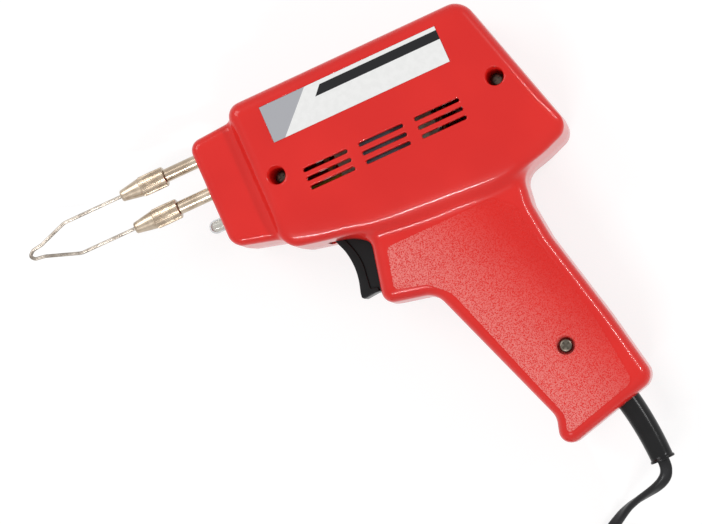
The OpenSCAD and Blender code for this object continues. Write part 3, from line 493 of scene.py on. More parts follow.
filmPlan = {
    "corner": (-42.8, 8.4),  # the low end of the grey corner's edge
    "cornerLean": 0.988,
    "bar": (-23.0, 19.5),  # the low end of the dark bar's start
    "barLean": 0.9,
    "barTop": 23.8,
    "blur": 0.06,
    "paper": (ink(234, 234, 233), ink(238, 238, 237)),
    "grey": ink(170, 171, 176),
    "dark": ink(22, 22, 25),
}


def plateFilm(plan):
    # printed film: a grey slanted corner, a white field and a plain dark bar
    f = Finish("plateFilm", specular=0.3)
    x, y, z = f.parts(f.place)
    x, y, blur = x / mm, y / mm, plan["blur"]

    def past(level, edge=0.0):
        return level.above(edge - blur, edge + blur)

    corner = 1 - past((x - plan["corner"][0]) - (y - plan["corner"][1]) * plan["cornerLean"])
    barStart = (x - plan["bar"][0]) - (y - plan["bar"][1]) * plan["barLean"]
    bar = past(barStart) * past(y, plan["bar"][1]) * (1 - past(y, plan["barTop"]))
    paper = f.mix(f.noise(3, 3).above(0.35, 0.65), *plan["paper"])
    shade = f.mix(corner, paper, plan["grey"])
    f.set("colour", f.mix(bar, shade, plan["dark"]))
    f.set("roughness", 0.34 + f.noise(1.2, 3) * 0.1)
    f.set("normal", f.bump(f.noise(2.2, 2), 0.02))
    return f


def metalFinish(name, dark, light, rough, brushing=(1, 1, 1), grainSize=2.0, depth=0.03):
    f = Finish(name, metallic=1.0)
    wear = f.noise(grainSize * 3, 3)
    lines = f.noise(grainSize, 4, 0.6, brushing)
    f.set("colour", f.clouded(wear, dark, light))
    f.set("roughness", rough + lines * 0.16 + wear * 0.08)
    f.set("normal", f.bump(lines, depth))
    return f


def mouldedFinish(name, dark, light, rough, grainSize=0.9, depth=0.05, specular=0.4):
    f = Finish(name, specular=specular)
    cloud = f.noise(grainSize * 14, 3)
    grain = f.noise(grainSize, 3, 0.6)
    f.set("colour", f.clouded(cloud, dark, light))
    f.set("roughness", rough + grain * 0.14)
    f.set("normal", f.bump(grain, depth))
    return f


def stripedFinish(name, axis, pitch, dark, light, metallic, rough, depth):
    # stacked sheets or wound turns, a line every pitch mm along one axis
    f = Finish(name, metallic=metallic)
    way = f.parts(f.place)[axis] / (pitch * mm)
    wave = (way * (2 * math.pi)).math("SINE") * 0.5 + 0.5
    f.set("colour", f.mix(wave.above(0.1, 0.6), dark, light))
    f.set("roughness", rough + f.noise(2, 3) * 0.2)
    f.set("normal", f.bump(wave, depth))
    return f


def clearFinish(name, tint, rough):
    f = Finish(name, transmission=1.0, ior=1.49, colour=tint)
    f.set("roughness", rough + f.noise(0.9, 3) * 0.12)
    f.set("normal", f.bump(f.noise(1.1, 2), 0.05))
    return f


red = redPlastic("redPlastic", False)
redGrained = redPlastic("redPlasticGrained", True)
film = plateFilm(filmPlan)
# painted shade: this steel is darkened all over to stand in for the shade inside the housing screws' deep recesses
shadeDarkSteel = metalFinish("screwSteel", ink(66, 62, 57), ink(124, 117, 106), 0.24)
nickel = metalFinish("conductorPlate", ink(176, 158, 138), ink(212, 196, 176), 0.12, (1, 9, 9), 3.0, 0.003)
nutPlate = metalFinish("nutPlate", ink(170, 152, 132), ink(204, 188, 168), 0.18, (1, 4, 4), 1.6, 0.004)
tipMetal = metalFinish("tipMetal", ink(150, 140, 130), ink(206, 196, 184), 0.16, (1, 5, 5), 1.4, 0.003)
springSteel = metalFinish("springSteel", ink(120, 120, 122), ink(176, 176, 180), 0.28)
brass = metalFinish("brass", ink(176, 138, 74), ink(214, 180, 112), 0.26)
pinBrass = metalFinish("plugPinPlate", ink(178, 176, 172), ink(220, 218, 212), 0.18)
strapCopper = metalFinish("strapCopper", ink(150, 84, 56), ink(196, 122, 86), 0.34)
blackPlastic = mouldedFinish("triggerBlack", ink(14, 14, 15), ink(21, 21, 23), 0.24, 0.7, 0.03, 0.25)
switchPlastic = mouldedFinish("switchPlastic", ink(28, 28, 31), ink(40, 40, 44), 0.42)
plungerPlastic = mouldedFinish("plungerPlastic", ink(176, 34, 28), ink(196, 42, 34), 0.36)
resin = mouldedFinish("noseResin", ink(70, 44, 28), ink(92, 58, 36), 0.5, 1.2, 0.08)
creamPlastic = mouldedFinish("creamPlastic", ink(222, 216, 196), ink(236, 230, 212), 0.42)
bobbinPlastic = mouldedFinish("bobbinPlastic", ink(216, 208, 184), ink(230, 224, 204), 0.45)
wrapPaper = mouldedFinish("wrapPaper", ink(208, 190, 92), ink(226, 210, 118), 0.38, 2.0, 0.04)
tiePlastic = mouldedFinish("tiePlastic", ink(26, 26, 28), ink(38, 38, 40), 0.4, 0.8, 0.04)
sleeveRubber = mouldedFinish("sleeveRubber", ink(16, 16, 17), ink(24, 24, 25), 0.15, 1.1, 0.02, 0.25)
cordRubber = mouldedFinish("cordRubber", ink(22, 22, 24), ink(31, 31, 33), 0.28, 1.0, 0.03, 0.3)
plugPlastic = mouldedFinish("plugPlastic", ink(24, 24, 26), ink(33, 33, 35), 0.38, 0.8, 0.06)
blueWire = mouldedFinish("blueWire", ink(40, 84, 176), ink(52, 98, 196), 0.32)
brownWire = mouldedFinish("brownWire", ink(104, 62, 34), ink(124, 76, 44), 0.32)
yellowWire = mouldedFinish("yellowWire", ink(212, 194, 54), ink(228, 212, 74), 0.32)
coreSheets = stripedFinish("coreSheets", 0, 0.5, ink(70, 72, 78), ink(118, 120, 126), 0.85, 0.42, 0.1)
copperTurns = stripedFinish("copperTurns", 2, 0.45, ink(120, 56, 24), ink(190, 104, 58), 0.9, 0.3, 0.2)
lensClear = clearFinish("lensClear", ink(224, 224, 225), 0.07)
bulbGlass = clearFinish("bulbGlass", ink(250, 246, 232), 0.02)
print("finishes made")


# housing

bodyPlan = {
    "outline": [(-63.7, -36.02), (-35.97, -44.02), (46.06, -49.5), (73.8, -38.97), (53.2, 33.0), (-63.7, 33.0)],
    "corner": 7.0,
    "half": 27.0,
    "round": 6.0,
    "lowEdges": 3,  # the first edges, towards which the side face slopes away from a crease
    "creaseInset": 12.0,
    "creaseDrop": 4.4,
    "creaseRound": 3.0,
}
nosePlan = {
    "outline": [(-85.7, -25.38), (-56.7, -33.25), (-56.7, 27.75), (-85.7, 25.9)],
    "corner": 5.5,
    "half": 21.0,
    "round": 4.0,
}
gripPlan = {
    "outline": [(10.78, -168.11), (63, -154.02), (56.31, -119.95), (46.31, -78.07), (44.56, -62.02), (47.96, -35.48),
                (-38.9, -31.03), (-28.3, -48.45), (-34.4, -76.2), (-11.0, -81.3), (15.4, -151.9)],
    "radii": [5.85, 7.15, 52, 39, 13, 3.25, 3.25, 6.5, 5.85, 9.1, 7.8],
    "half": 19.0,
    "round": 6.0,
}
shellPlan = {
    "draft": 0.4,
    "noseBlend": 3.2,
    "gripBlend": 9.0,
    "grid": 0.8,
    "coarseGrid": 1.6,
    "skin": 0.8,  # how much of the frame's wall the finer skin replaces
    "low": (-89.6, -171.2, 24.6),  # the corners of the space the skin is sought in
    "high": (76, 40.8, 56),
    "partingGap": 0.03,  # half the gap between the halves
    "innerPast": 1,  # how far the inner body passes the parting plane
}
panelPlan = {
    "outline": [(-22.5, -53.0), (-27.3, -72.6), (-12.5, -76.6), (-4.3, -84.1), (19.3, -153.2), (15.6, -162.4),
                (23.9, -160.0), (53.6, -151.6), (49.8, -119.5), (41.0, -78.0), (38.2, -60.0), (30.0, -52.6)],
    "radii": [3, 3, 6, 12, 8, 2.5, 3, 5, 30, 20, 8, 6],
    "sideFrom": 13,  # the side face lies at least this far from the parting plane
    "elsewhere": -5,
}


def roundedLine(outline, radii, steps=9):
    out = []
    for i, p in enumerate(outline):
        a, p, b = (np.array(q, float) for q in (outline[i - 1], p, outline[(i + 1) % len(outline)]))
        u, v = (a - p) / np.linalg.norm(a - p), (b - p) / np.linalg.norm(b - p)
        half = math.acos(float(u @ v)) / 2
        turn = math.pi - 2 * half
        centre = p + (u + v) / np.linalg.norm(u + v) * radii[i] / math.sin(half)
        start, end = p + u * radii[i] / math.tan(half) - centre, p + v * radii[i] / math.tan(half) - centre
        shares = [(math.sin((1 - k / steps) * turn), math.sin(k / steps * turn)) for k in range(steps + 1)]
        out += [centre + (first * start + second * end) / math.sin(turn) for first, second in shares]
    return np.array(out)


def lineInset(line, x, y):
    # distance of each place to a closed line, above zero inside it
    nearest = np.full(x.shape, 1e9)
    inside = np.zeros(x.shape, bool)
    for (ax, ay), (bx, by) in zip(line, np.roll(line, -1, 0)):
        dx, dy = bx - ax, by - ay
        size = dx * dx + dy * dy
        if size < 1e-12:
            continue
        t = np.clip(((x - ax) * dx + (y - ay) * dy) / size, 0, 1)
        nearest = np.minimum(nearest, (x - ax - t * dx) ** 2 + (y - ay - t * dy) ** 2)
        if dy:
            inside ^= ((ay > y) != (by > y)) & (x < ax + (y - ay) * dx / dy)
    return np.where(inside, 1, -1) * np.sqrt(nearest)


def edgeLevels(outline, x, y):
    levels = []
    for i, (ax, ay) in enumerate(outline):
        bx, by = outline[(i + 1) % len(outline)]
        levels.append(((by - ay) * (ax - x) + (bx - ax) * (y - ay)) / math.hypot(bx - ax, by - ay))
    return levels


def edgeInset(plan, x, y):
    # the same for a bulging outline with equally rounded corners
    levels, corner = edgeLevels(plan["outline"], x, y), plan["corner"]
    least = np.minimum.reduce(levels)
    near = corner - np.sqrt(sum(np.maximum(corner - level, 0) ** 2 for level in levels))
    return np.where(least < corner, near, least)


def roundedSlab(plan, inset, z):
    flat = plan["half"] - plan["round"]
    up = np.abs(z - mid)
    inset = inset - shellPlan["draft"] * np.minimum(up / flat, 1)
    across, above = plan["round"] - inset, up - flat
    return (np.hypot(np.maximum(across, 0), np.maximum(above, 0)) + np.minimum(np.maximum(across, above), 0)
            - plan["round"])


def bodySolid(x, y, z, inset):
    plan = bodyPlan
    slab = roundedSlab(plan, inset, z)
    low = np.minimum.reduce(edgeLevels(plan["outline"], x, y)[:plan["lowEdges"]])
    slope = math.atan2(plan["creaseDrop"], plan["creaseInset"])
    over = (np.abs(z - mid) - plan["half"]) * math.cos(slope) + (plan["creaseInset"] - low) * math.sin(slope)
    r = plan["creaseRound"]
    return np.minimum(-r, np.maximum(slab, over)) + np.hypot(np.maximum(slab + r, 0), np.maximum(over + r, 0))


def softUnion(first, second, blend):
    if not blend:
        return np.minimum(first, second)
    return np.minimum(first, second) - np.maximum(blend - np.abs(first - second), 0) ** 2 / (4 * blend)


gripLine = roundedLine(gripPlan["outline"], gripPlan["radii"])


def flatInsets(x, y):
    return [edgeInset(bodyPlan, x, y), edgeInset(nosePlan, x, y), lineInset(gripLine, x, y)]


def housingField(x, y, z, blends, insets=None):
    # below zero inside the housing, x, y and z in mm
    inBody, inNose, inGrip = insets or flatInsets(x, y)
    body = bodySolid(x, y, z, inBody)
    nose = roundedSlab(nosePlan, inNose, z)
    grip = roundedSlab(gripPlan, inGrip, z)
    return softUnion(softUnion(body, grip, blends[1]), nose, blends[0])


def skinOf(level, step, low, high, blends):
    # a quad skin where the field reaches a level, its points then drawn exactly onto it
    counts = [int(math.ceil((high[a] - low[a]) / step)) + 1 for a in range(3)]
    axes = [low[a] + step * np.arange(counts[a]) for a in range(3)]
    x, y = np.meshgrid(axes[0], axes[1], indexing="ij")
    insets = [inset[..., None] for inset in flatInsets(x, y)]
    values = housingField(x[..., None], y[..., None], axes[2][None, None, :], blends, insets) - level
    inside = values < 0
    cells = [c - 1 for c in counts]
    total, count = np.zeros((*cells, 3)), np.zeros(cells)
    for axis in range(3):
        for other in ((0, 0), (0, 1), (1, 0), (1, 1)):
            rest = [a for a in range(3) if a != axis]
            shift = [0, 0, 0]
            shift[rest[0]], shift[rest[1]] = other
            start = tuple(slice(shift[a], shift[a] + cells[a]) for a in range(3))
            shift[axis] = 1
            end = tuple(slice(shift[a], shift[a] + cells[a]) for a in range(3))
            v0, v1 = values[start], values[end]
            crossing = inside[start] != inside[end]
            share = np.where(crossing, v0 / np.where(crossing, v0 - v1, 1), 0)
            place = [0.0, 0.0, 0.0]
            place[rest[0]], place[rest[1]] = other
            for a in range(3):
                total[..., a] += np.where(crossing, share if a == axis else place[a], 0)
            count += crossing
    used = count > 0
    number = np.full(cells, -1)
    number[used] = np.arange(used.sum())
    corners = np.argwhere(used)
    points = np.array(low) + step * (corners + total[used] / count[used][:, None])
    faces = []
    for axis in range(3):
        one, two = [a for a in range(3) if a != axis]
        start = [slice(None)] * 3
        end = [slice(None)] * 3
        start[axis], end[axis] = slice(0, -1), slice(1, None)
        a, b = inside[tuple(start)], inside[tuple(end)]
        for sign, found in ((1, a & ~b), (-1, ~a & b)):
            cell = np.argwhere(found)
            cell = cell[np.all([(cell[:, r] > 0) & (cell[:, r] < counts[r] - 1) for r in (one, two)], axis=0)]
            ring = []
            for d1, d2 in ((-1, -1), (0, -1), (0, 0), (-1, 0)):
                at = cell.copy()
                at[:, one] += d1
                at[:, two] += d2
                ring.append(number[at[:, 0], at[:, 1], at[:, 2]])
            quad = np.stack(ring, 1)
            faces.append(quad if (sign == 1) == (axis != 1) else quad[:, ::-1])
    return drawOnto(points, level, blends), np.concatenate(faces)


def drawOnto(points, level, blends, rounds=3, reach=0.6, step=0.05):
    for _ in range(rounds):
        value = housingField(*points.T, blends) - level
        pairs = [(housingField(*(points + d).T, blends), housingField(*(points - d).T, blends))
                 for d in np.eye(3) * step]
        slope = np.stack([(above - below) / (2 * step) for above, below in pairs], 1)
        size = np.maximum((slope ** 2).sum(1), 0.05)
        move = -slope * (value / size)[:, None]
        length = np.linalg.norm(move, axis=1)
        points = points + move * np.minimum(1, reach / np.maximum(length, 1e-9))[:, None]
    return points


def cutFlat(piece, height):
    # keeps what lies above a height and closes the cut
    mesh = bmesh.new()
    mesh.from_mesh(piece.data)
    bmesh.ops.bisect_plane(mesh, geom=mesh.verts[:] + mesh.edges[:] + mesh.faces[:], plane_co=(0, 0, height * mm),
                           plane_no=(0, 0, 1), clear_inner=True)
    rim = [e for e in mesh.edges if e.is_boundary]
    filled = bmesh.ops.holes_fill(mesh, edges=rim)["faces"]
    bmesh.ops.triangulate(mesh, faces=filled)
    bmesh.ops.recalc_face_normals(mesh, faces=mesh.faces)
    mesh.to_mesh(piece.data)
    mesh.free()


def combine(piece, other, operation="DIFFERENCE"):
    # the other piece is used up
    change = piece.modifiers.new("combine", "BOOLEAN")
    change.operation, change.object, change.solver = operation, other, "MANIFOLD"
    bake(piece)
    bpy.data.objects.remove(other)


def tidyShading(piece, angle=34):
    piece.data.shade_smooth()
    piece.data.set_sharp_from_angle(angle=math.radians(angle))


class Repeat(Wiring):
    # a geometry tree with named sizes, run and turned into a plain mesh
    def __init__(self, name, sizes):
        tree = bpy.data.node_groups.new(name, "GeometryNodeTree")
        super().__init__(tree)
        for way in ("OUTPUT", "INPUT"):
            tree.interface.new_socket("Geometry", in_out=way, socket_type="NodeSocketGeometry")
        self.sizes, self.keys = sizes, {}
        for key, value in sizes.items():
            kind = "NodeSocketInt" if isinstance(value, int) else "NodeSocketFloat"
            self.keys[key] = tree.interface.new_socket(key, in_out="INPUT", socket_type=kind).identifier
        source = self.node("NodeGroupInput")
        self.size = {key: Signal(self, source.outputs[key]) for key in sizes}

    def close(self, geometry, finish):
        real = self.add("GeometryNodeRealizeInstances", None, {"Geometry": geometry})
        painted = self.add("GeometryNodeSetMaterial", None, {"Geometry": real, "Material": finish.material})
        self.node("NodeGroupOutput", None, {"Geometry": painted})

    def run(self, name, values=None):
        holder = meshObject(name, [(0, 0, 0)], [])
        modifier = holder.modifiers.new("repeat", "NODES")
        modifier.node_group = self.tree
        for key, value in {**self.sizes, **(values or {})}.items():
            modifier[self.keys[key]] = value
        return bake(holder)


ventPlan = {
    "place": (-3.52, -12.4, 25.2),  # its height is from the parting plane
    "sizes": {
        "groups": 3, "rows": 3,
        "groupPitch": 27.0 * mm, "rowPitch": 4.2 * mm,
        "slotLength": 21.5 * mm, "slotWidth": 1.84 * mm, "rimWidth": 1.84 * mm, "depth": 2.6 * mm,
    },
    "rimRise": 1.35,  # the same slots once more, higher and flared, for their mouths
    "rimSizes": {"slotWidth": 1.7 * mm, "rimWidth": 3.1 * mm, "depth": 0.8 * mm},
}


def ventTree(plan):
    t = Repeat("ventSlots", plan["sizes"])
    s = t.size
    prism = t.add("GeometryNodeMeshCone", None, {"Vertices": 28, "Radius Top": s["rimWidth"] / 2,
                                                 "Radius Bottom": s["slotWidth"] / 2, "Depth": s["depth"]}, "Mesh")
    x = t.parts(t.add("GeometryNodeInputPosition"))[0]
    side = (x + 1e-6).math("SIGN")
    offset = t.add("ShaderNodeCombineXYZ", None, {0: side * (s["slotLength"] - s["slotWidth"]) / 2})
    slot = t.add("GeometryNodeSetPosition", None, {"Geometry": prism, "Offset": offset})
    grid = t.add("GeometryNodeMeshGrid", None, {"Size X": s["groupPitch"] * (s["groups"] - 1),
                                                "Size Y": s["rowPitch"] * (s["rows"] - 1),
                                                "Vertices X": s["groups"], "Vertices Y": s["rows"]}, "Mesh")
    t.close(t.add("GeometryNodeInstanceOnPoints", None, {"Points": grid, "Instance": slot}), red)
    return t


def shifted(piece, x=0, y=0, z=0):
    piece.data.transform(Matrix.Translation(Vector((x, y, z)) * mm))
    return piece


def boxPiece(name, low, high):
    points = [(x, y, z) for x in (low[0], high[0]) for y in (low[1], high[1]) for z in (low[2], high[2])]
    faces = [(0, 1, 3, 2), (4, 6, 7, 5), (0, 4, 5, 1), (2, 3, 7, 6), (0, 2, 6, 4), (1, 5, 7, 3)]
    piece = meshObject(name, points, faces)
    faceOutwards(piece)
    return piece


def turned(name, profile, centre, way="x", sides=72):
    # a lathe-turned piece: (place along the axis, radius) all the way round its section
    points, faces = [], []
    for along, radius in profile:
        for k in range(sides):
            a = 2 * math.pi * k / sides
            c, s = radius * math.cos(a), radius * math.sin(a)
            point = (centre[0] + c, centre[1] + s)
            points.append((along, *point) if way == "x" else (*point, along))
    n = len(profile)
    for i in range(n if profile[0][1] and profile[-1][1] else n - 1):
        for k in range(sides):
            m = (k + 1) % sides
            j = (i + 1) % n
            faces.append((i * sides + k, j * sides + k, j * sides + m, i * sides + m))
    piece = meshObject(name, points, faces)
    faceOutwards(piece, 1e-8)
    tidyShading(piece)
    return piece


bendPlan = {"centre": (-100.0, -188.0), "radius": 150.0}


def onBend(angle, across=0.0, up=0.0):
    # a place on the strain relief's bend, angle in degrees
    a = math.radians(angle)
    r = bendPlan["radius"] + across
    return (bendPlan["centre"][0] + r * math.cos(a), bendPlan["centre"][1] + r * math.sin(a), mid + up)


def loftRings(name, rings):
    # a closed piece through a row of rings
    n = len(rings[0])
    faces = [(k * n + i, k * n + (i + 1) % n, (k + 1) * n + (i + 1) % n, (k + 1) * n + i)
             for k in range(len(rings) - 1) for i in range(n)]
    faces += [tuple(range(n)), tuple((len(rings) - 1) * n + i for i in range(n))]
    piece = meshObject(name, [p for ring in rings for p in ring], faces)
    faceOutwards(piece)
    return piece


def ringOnBend(angle, wide, thick, sides=48):
    return [onBend(angle, across, up) for across, up in ringPoints(wide, thick, sides)]


def circleOnBend(angle, radius):
    return ringOnBend(angle, radius, radius)


# x, y, the side face's height and how far below it the head sits
screwPlaces = [(-52.99, -5.0, 54.0, 17.0), (52.5, -5.5, 54.0, 17.0), (32.5, -125.11, 46.0, 3.4)]
noseYs = {"upper": 19.795, "lower": 3.695, "lamp": -11.25}
cutPlan = {
    "recess": 4.05, "recessDeep": 2.2, "rim": 4.6, "rimDeep": 0.5,
    "noseHoles": (-92, -87, -80),  # where the cutters start, where they flare to, and where they end
    "holes": [("upper", 3.42, 0.5, 0.5), ("lower", 3.42, 0.5, 0.5), ("lamp", 3.32, 0.35, 0.4)],  # radius and flare
    "trigger": ((-46.92, -69.8, 20.38), (-24.98, -37.0, 33.62)),
    "plate": ((-48.1, 8.49, 53.7), (37.51, 25.7, 56.0)),
    "relief": 5.82, "reliefAngles": (5.8, 17.8),
}


def housingCutters(left):
    vents = ventTree(ventPlan)
    x, y, z = ventPlan["place"]
    cuts = [shifted(vents.run("ventCut"), x, y, mid + z),
            shifted(vents.run("ventRim", ventPlan["rimSizes"]), x, y, mid + z + ventPlan["rimRise"])]
    front, mouth, back = cutPlan["noseHoles"]
    for name, radius, flare, flareDeep in cutPlan["holes"]:
        cuts.append(turned("noseHole", [(front, 0), (front, radius + mouth - front), (mouth, radius + flare),
                                        (mouth + flareDeep, radius), (back, radius), (back, 0)],
                           (noseYs[name], mid)))
    cuts.append(boxPiece("triggerCut", *cutPlan["trigger"]))
    start, end = cutPlan["reliefAngles"]
    cuts.append(loftRings("reliefCut", [circleOnBend(start + (end - start) * k / 16, cutPlan["relief"])
                                        for k in range(17)]))
    if left:
        cuts.append(boxPiece("plateCut", *cutPlan["plate"]))
        r, rim = cutPlan["recess"], cutPlan["rim"]
        for x, y, top, _ in screwPlaces:
            floor, over = top - cutPlan["recessDeep"], top + 2
            cuts.append(turned("recessCut", [(floor, 0), (floor, r), (top - cutPlan["rimDeep"], r), (top, rim),
                                             (over, rim + 2), (over, 0)], (x, y), "z"))
    return cuts


def housingHalf(name, node, outer, inner, left):
    # the finer skin keeps the frame's own inside: its ribs, bosses and holes
    hollow = twin(inner, "hollow")
    own = bpy.data.objects.new("own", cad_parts[node].data.copy())
    bpy.context.scene.collection.objects.link(own)
    mesh = bmesh.new()
    mesh.from_mesh(own.data)
    bmesh.ops.remove_doubles(mesh, verts=mesh.verts, dist=1e-6)
    mesh.to_mesh(own.data)
    mesh.free()
    flip = Matrix.Translation((0, 0, 2 * mid * mm)) @ Matrix.Diagonal((1, 1, -1, 1))
    if not left:
        own.data.transform(flip)
        own.data.flip_normals()
    combine(hollow, own)
    half = twin(outer, name)
    combine(half, hollow)
    for cut in housingCutters(left):
        combine(half, cut)
    if not left:
        half.data.transform(flip)
        half.data.flip_normals()
    markPanel(half)
    tidyShading(half)
    return half


def markPanel(piece):
    # how far each point of the side face lies inside the grained panel, in mm
    places = np.zeros(len(piece.data.vertices) * 3)
    piece.data.vertices.foreach_get("co", places)
    x, y, z = places.reshape(-1, 3).T / mm
    inset = lineInset(roundedLine(panelPlan["outline"], panelPlan["radii"]), x, y)
    inset = np.where(np.abs(z - mid) > panelPlan["sideFrom"], inset, panelPlan["elsewhere"])
    piece.data.attributes.new("panelInset", "FLOAT", "POINT").data.foreach_set("value", inset.astype(np.float32))


def makeHousing(plan):
    blends = (plan["noseBlend"], plan["gripBlend"])
    low, high = plan["low"], plan["high"]
    outer = meshObject("outerSkin", *skinOf(0, plan["grid"], low, high, blends))
    cutFlat(outer, mid + plan["partingGap"])
    inner = meshObject("innerSkin", *skinOf(-plan["skin"], plan["coarseGrid"], low, high, (0, 0)))
    cutFlat(inner, mid - plan["innerPast"])
    left = housingHalf("housingLeft", "housing_left", outer, inner, True)
    right = housingHalf("housingRight", "housing_right", outer, inner, False)
    for skin in (outer, inner):
        bpy.data.objects.remove(skin)
    settle(left, "housing", ["housing_left"], redGrained)
    settle(right, "housing", ["housing_right"], redGrained)
    print("housing halves made,", len(left.data.polygons), len(right.data.polygons), "faces")


makeHousing(shellPlan)


# the two conductors, their knurled nuts and the tip
rodPlan = {"radius": 3.1, "stud": 2.5, "bore": 0.95, "boreDeep": 18.0, "shoulder": -103.59, "boreEdge": 0.2,
           "edge": 0.3, "shoulderEdge": 0.25}
nutPlan = {"back": -103.69, "knurl": 12.6, "cone": 9.8, "radius": 4.52, "front": 2.6, "bore": 1.15, "boreDeep": 7.2,
           "thread": 2.55, "chamfer": 0.45, "neck": 0.16, "ridgeMiddle": -110.0}
ridgePlan = {"ridges": 44, "barrelRadius": 4.42 * mm, "ridgeRadius": 0.29 * mm, "ridgeLength": 11.7 * mm}


def ridgeTree():
    t = Repeat("knurlRidges", ridgePlan)
    s = t.size
    ridge = t.add("GeometryNodeMeshCone", None,
                  {"Vertices": 4, "Radius Top": s["ridgeRadius"] * 0.72, "Radius Bottom": s["ridgeRadius"],
                   "Depth": s["ridgeLength"] / 2}, "Mesh")
    other = t.add("GeometryNodeTransform", None, {"Geometry": ridge, "Rotation": (math.pi, 0, 0)})
    pair = t.node("GeometryNodeJoinGeometry")
    for half in (ridge, other):
        t.tree.links.new(half.socket, pair.inputs[0])
    ring = t.add("GeometryNodeMeshCircle", None, {"Vertices": s["ridges"], "Radius": s["barrelRadius"]})
    lying, upright = (t.add("GeometryNodeTransform", None, {"Geometry": piece, "Rotation": (0, math.pi / 2, 0)})
                      for piece in (Signal(t, pair.outputs[0]), ring))
    turn = t.add("ShaderNodeCombineXYZ", None, {0: t.add("GeometryNodeInputIndex") * (2 * math.pi) / s["ridges"]})
    placed = t.add("GeometryNodeInstanceOnPoints", None, {"Points": upright, "Instance": lying, "Rotation": turn})
    t.close(placed, nutPlate)
    return t


def makeConductors(plan):
    radius, stud, bore, shoulder = plan["radius"], plan["stud"], plan["bore"], plan["shoulder"]
    edge, boreEdge, shoulderEdge = plan["edge"], plan["boreEdge"], plan["shoulderEdge"]
    for side in ("upper", "lower"):
        low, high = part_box(side + "_conductor")
        end, back = low.x / mm, high.x / mm
        deep = end + plan["boreDeep"]
        rod = turned(side + "Conductor", [
            (deep, 0), (deep, bore), (end + boreEdge, bore), (end, bore + boreEdge), (end, stud - edge),
            (end + edge, stud), (shoulder, stud), (shoulder, radius - shoulderEdge),
            (shoulder + shoulderEdge, radius), (back - edge, radius), (back, radius - edge), (back, 0)],
            (noseYs[side], mid))
        settle(rod, "housing", [side + "_conductor"], nickel)


def makeNuts(plan):
    tree = ridgeTree()
    back, radius, bore, c = plan["back"], plan["radius"], plan["bore"], plan["chamfer"]
    step = back - plan["knurl"]
    front, inner, neck = step - plan["cone"], step - plan["cone"] + plan["boreDeep"], radius - plan["neck"]
    profile = [(back, plan["thread"]), (back, radius - c), (back - c * 0.6, radius), (step + 0.5, radius),
               (step + 0.15, radius - 0.25), (step, neck)]
    profile += [(step - plan["cone"] * k / 8, neck - (neck - plan["front"]) * k / 8) for k in range(1, 8)]
    profile += [(front + 0.25, plan["front"] + 0.04), (front, plan["front"] - 0.22), (front, bore + 0.15),
                (front + 0.2, bore), (inner, bore), (inner, plan["thread"])]
    for side in ("upper", "lower"):
        nut = turned(side + "Nut", profile, (noseYs[side], mid), sides=96)
        ridges = shifted(tree.run("ridges"), plan["ridgeMiddle"], noseYs[side], mid)
        joined([nut, ridges])
        tidyShading(nut, 40)
        settle(nut, side + "_nut", [side + "_collet_nut"], nutPlate)


tipPlan = {
    "diameter": 1.66,
    "points": [(-105.7, noseYs["upper"]), (-155.8, noseYs["upper"]), (-169.5, 14.95), (-174.2, 14.3),
               (-176.7, 12.2), (-174.9, 10.2), (-170.0, 9.45), (-153.7, noseYs["lower"]), (-105.7, noseYs["lower"])],
    "bends": [0, 7, 6, 2.6, 1.4, 2.2, 6, 9, 0],
    "longest": 4,  # the straight runs are cut into lengths near this
    "sides": 20,
}


def bentWire(points, bends, steps=8):
    out = [points[0]]
    for i in range(1, len(points) - 1):
        a, p, b = Vector(points[i - 1]), Vector(points[i]), Vector(points[i + 1])
        u, v = (a - p).normalized(), (b - p).normalized()
        half = u.angle(v) / 2
        reach = min(bends[i] / math.tan(half), 0.48 * (a - p).length, 0.48 * (b - p).length)
        radius = reach * math.tan(half)
        centre = p + (u + v).normalized() * radius / math.sin(half)
        start, end = p + u * reach - centre, p + v * reach - centre
        turn = math.pi - 2 * half
        out += [tuple(centre + (start * math.sin((1 - k / steps) * turn) + end * math.sin(k / steps * turn))
                      / math.sin(turn)) for k in range(steps + 1)]
    return out + [points[-1]]


def makeTip(plan):
    line = bentWire(plan["points"], plan["bends"])
    fine = [line[0]]
    for a, b in zip(line, line[1:]):
        lengths = max(1, round(math.dist(a, b) / plan["longest"]))
        fine += [tuple(a[i] + (b[i] - a[i]) * k / lengths for i in (0, 1)) for k in range(1, lengths + 1)]
    section = ringPoints(plan["diameter"] / 2, plan["diameter"] / 2, plan["sides"])
    tip = sweep("tipWire", [(x, y, mid) for x, y in fine], [section] * len(fine))
    tidyShading(tip, 50)
    settle(tip, "tip", ["tip_wire"], tipMetal)


makeConductors(rodPlan)
makeNuts(nutPlan)
makeTip(tipPlan)
print("conductors, nuts and tip made")


# the lamp: a clear lens over a small bulb
lampPlan = {"front": -94.65, "radius": 3.18, "wall": 0.5, "flange": 4.45, "flangeStart": -82.9, "flangeEnd": -81.32}


def makeLamp(plan):
    dome, r = plan["front"] + plan["radius"], plan["radius"]
    flangeStart, flangeEnd = plan["flangeStart"], plan["flangeEnd"]

    def arc(radius):
        angles = [math.radians(a) for a in range(0, 91, 9)]
        return [(dome - radius * math.cos(a), radius * math.sin(a)) for a in angles]

    outer = arc(r) + [(flangeStart, r), (flangeStart, plan["flange"]), (flangeEnd, plan["flange"])]
    r -= plan["wall"]
    lens = turned("lampLens", outer + [(flangeEnd, r)] + arc(r)[::-1], (noseYs["lamp"], mid), sides=64)
    settle(lens, "housing", ["lamp_lens"], lensClear)


makeLamp(lampPlan)
print("lamp lens made")


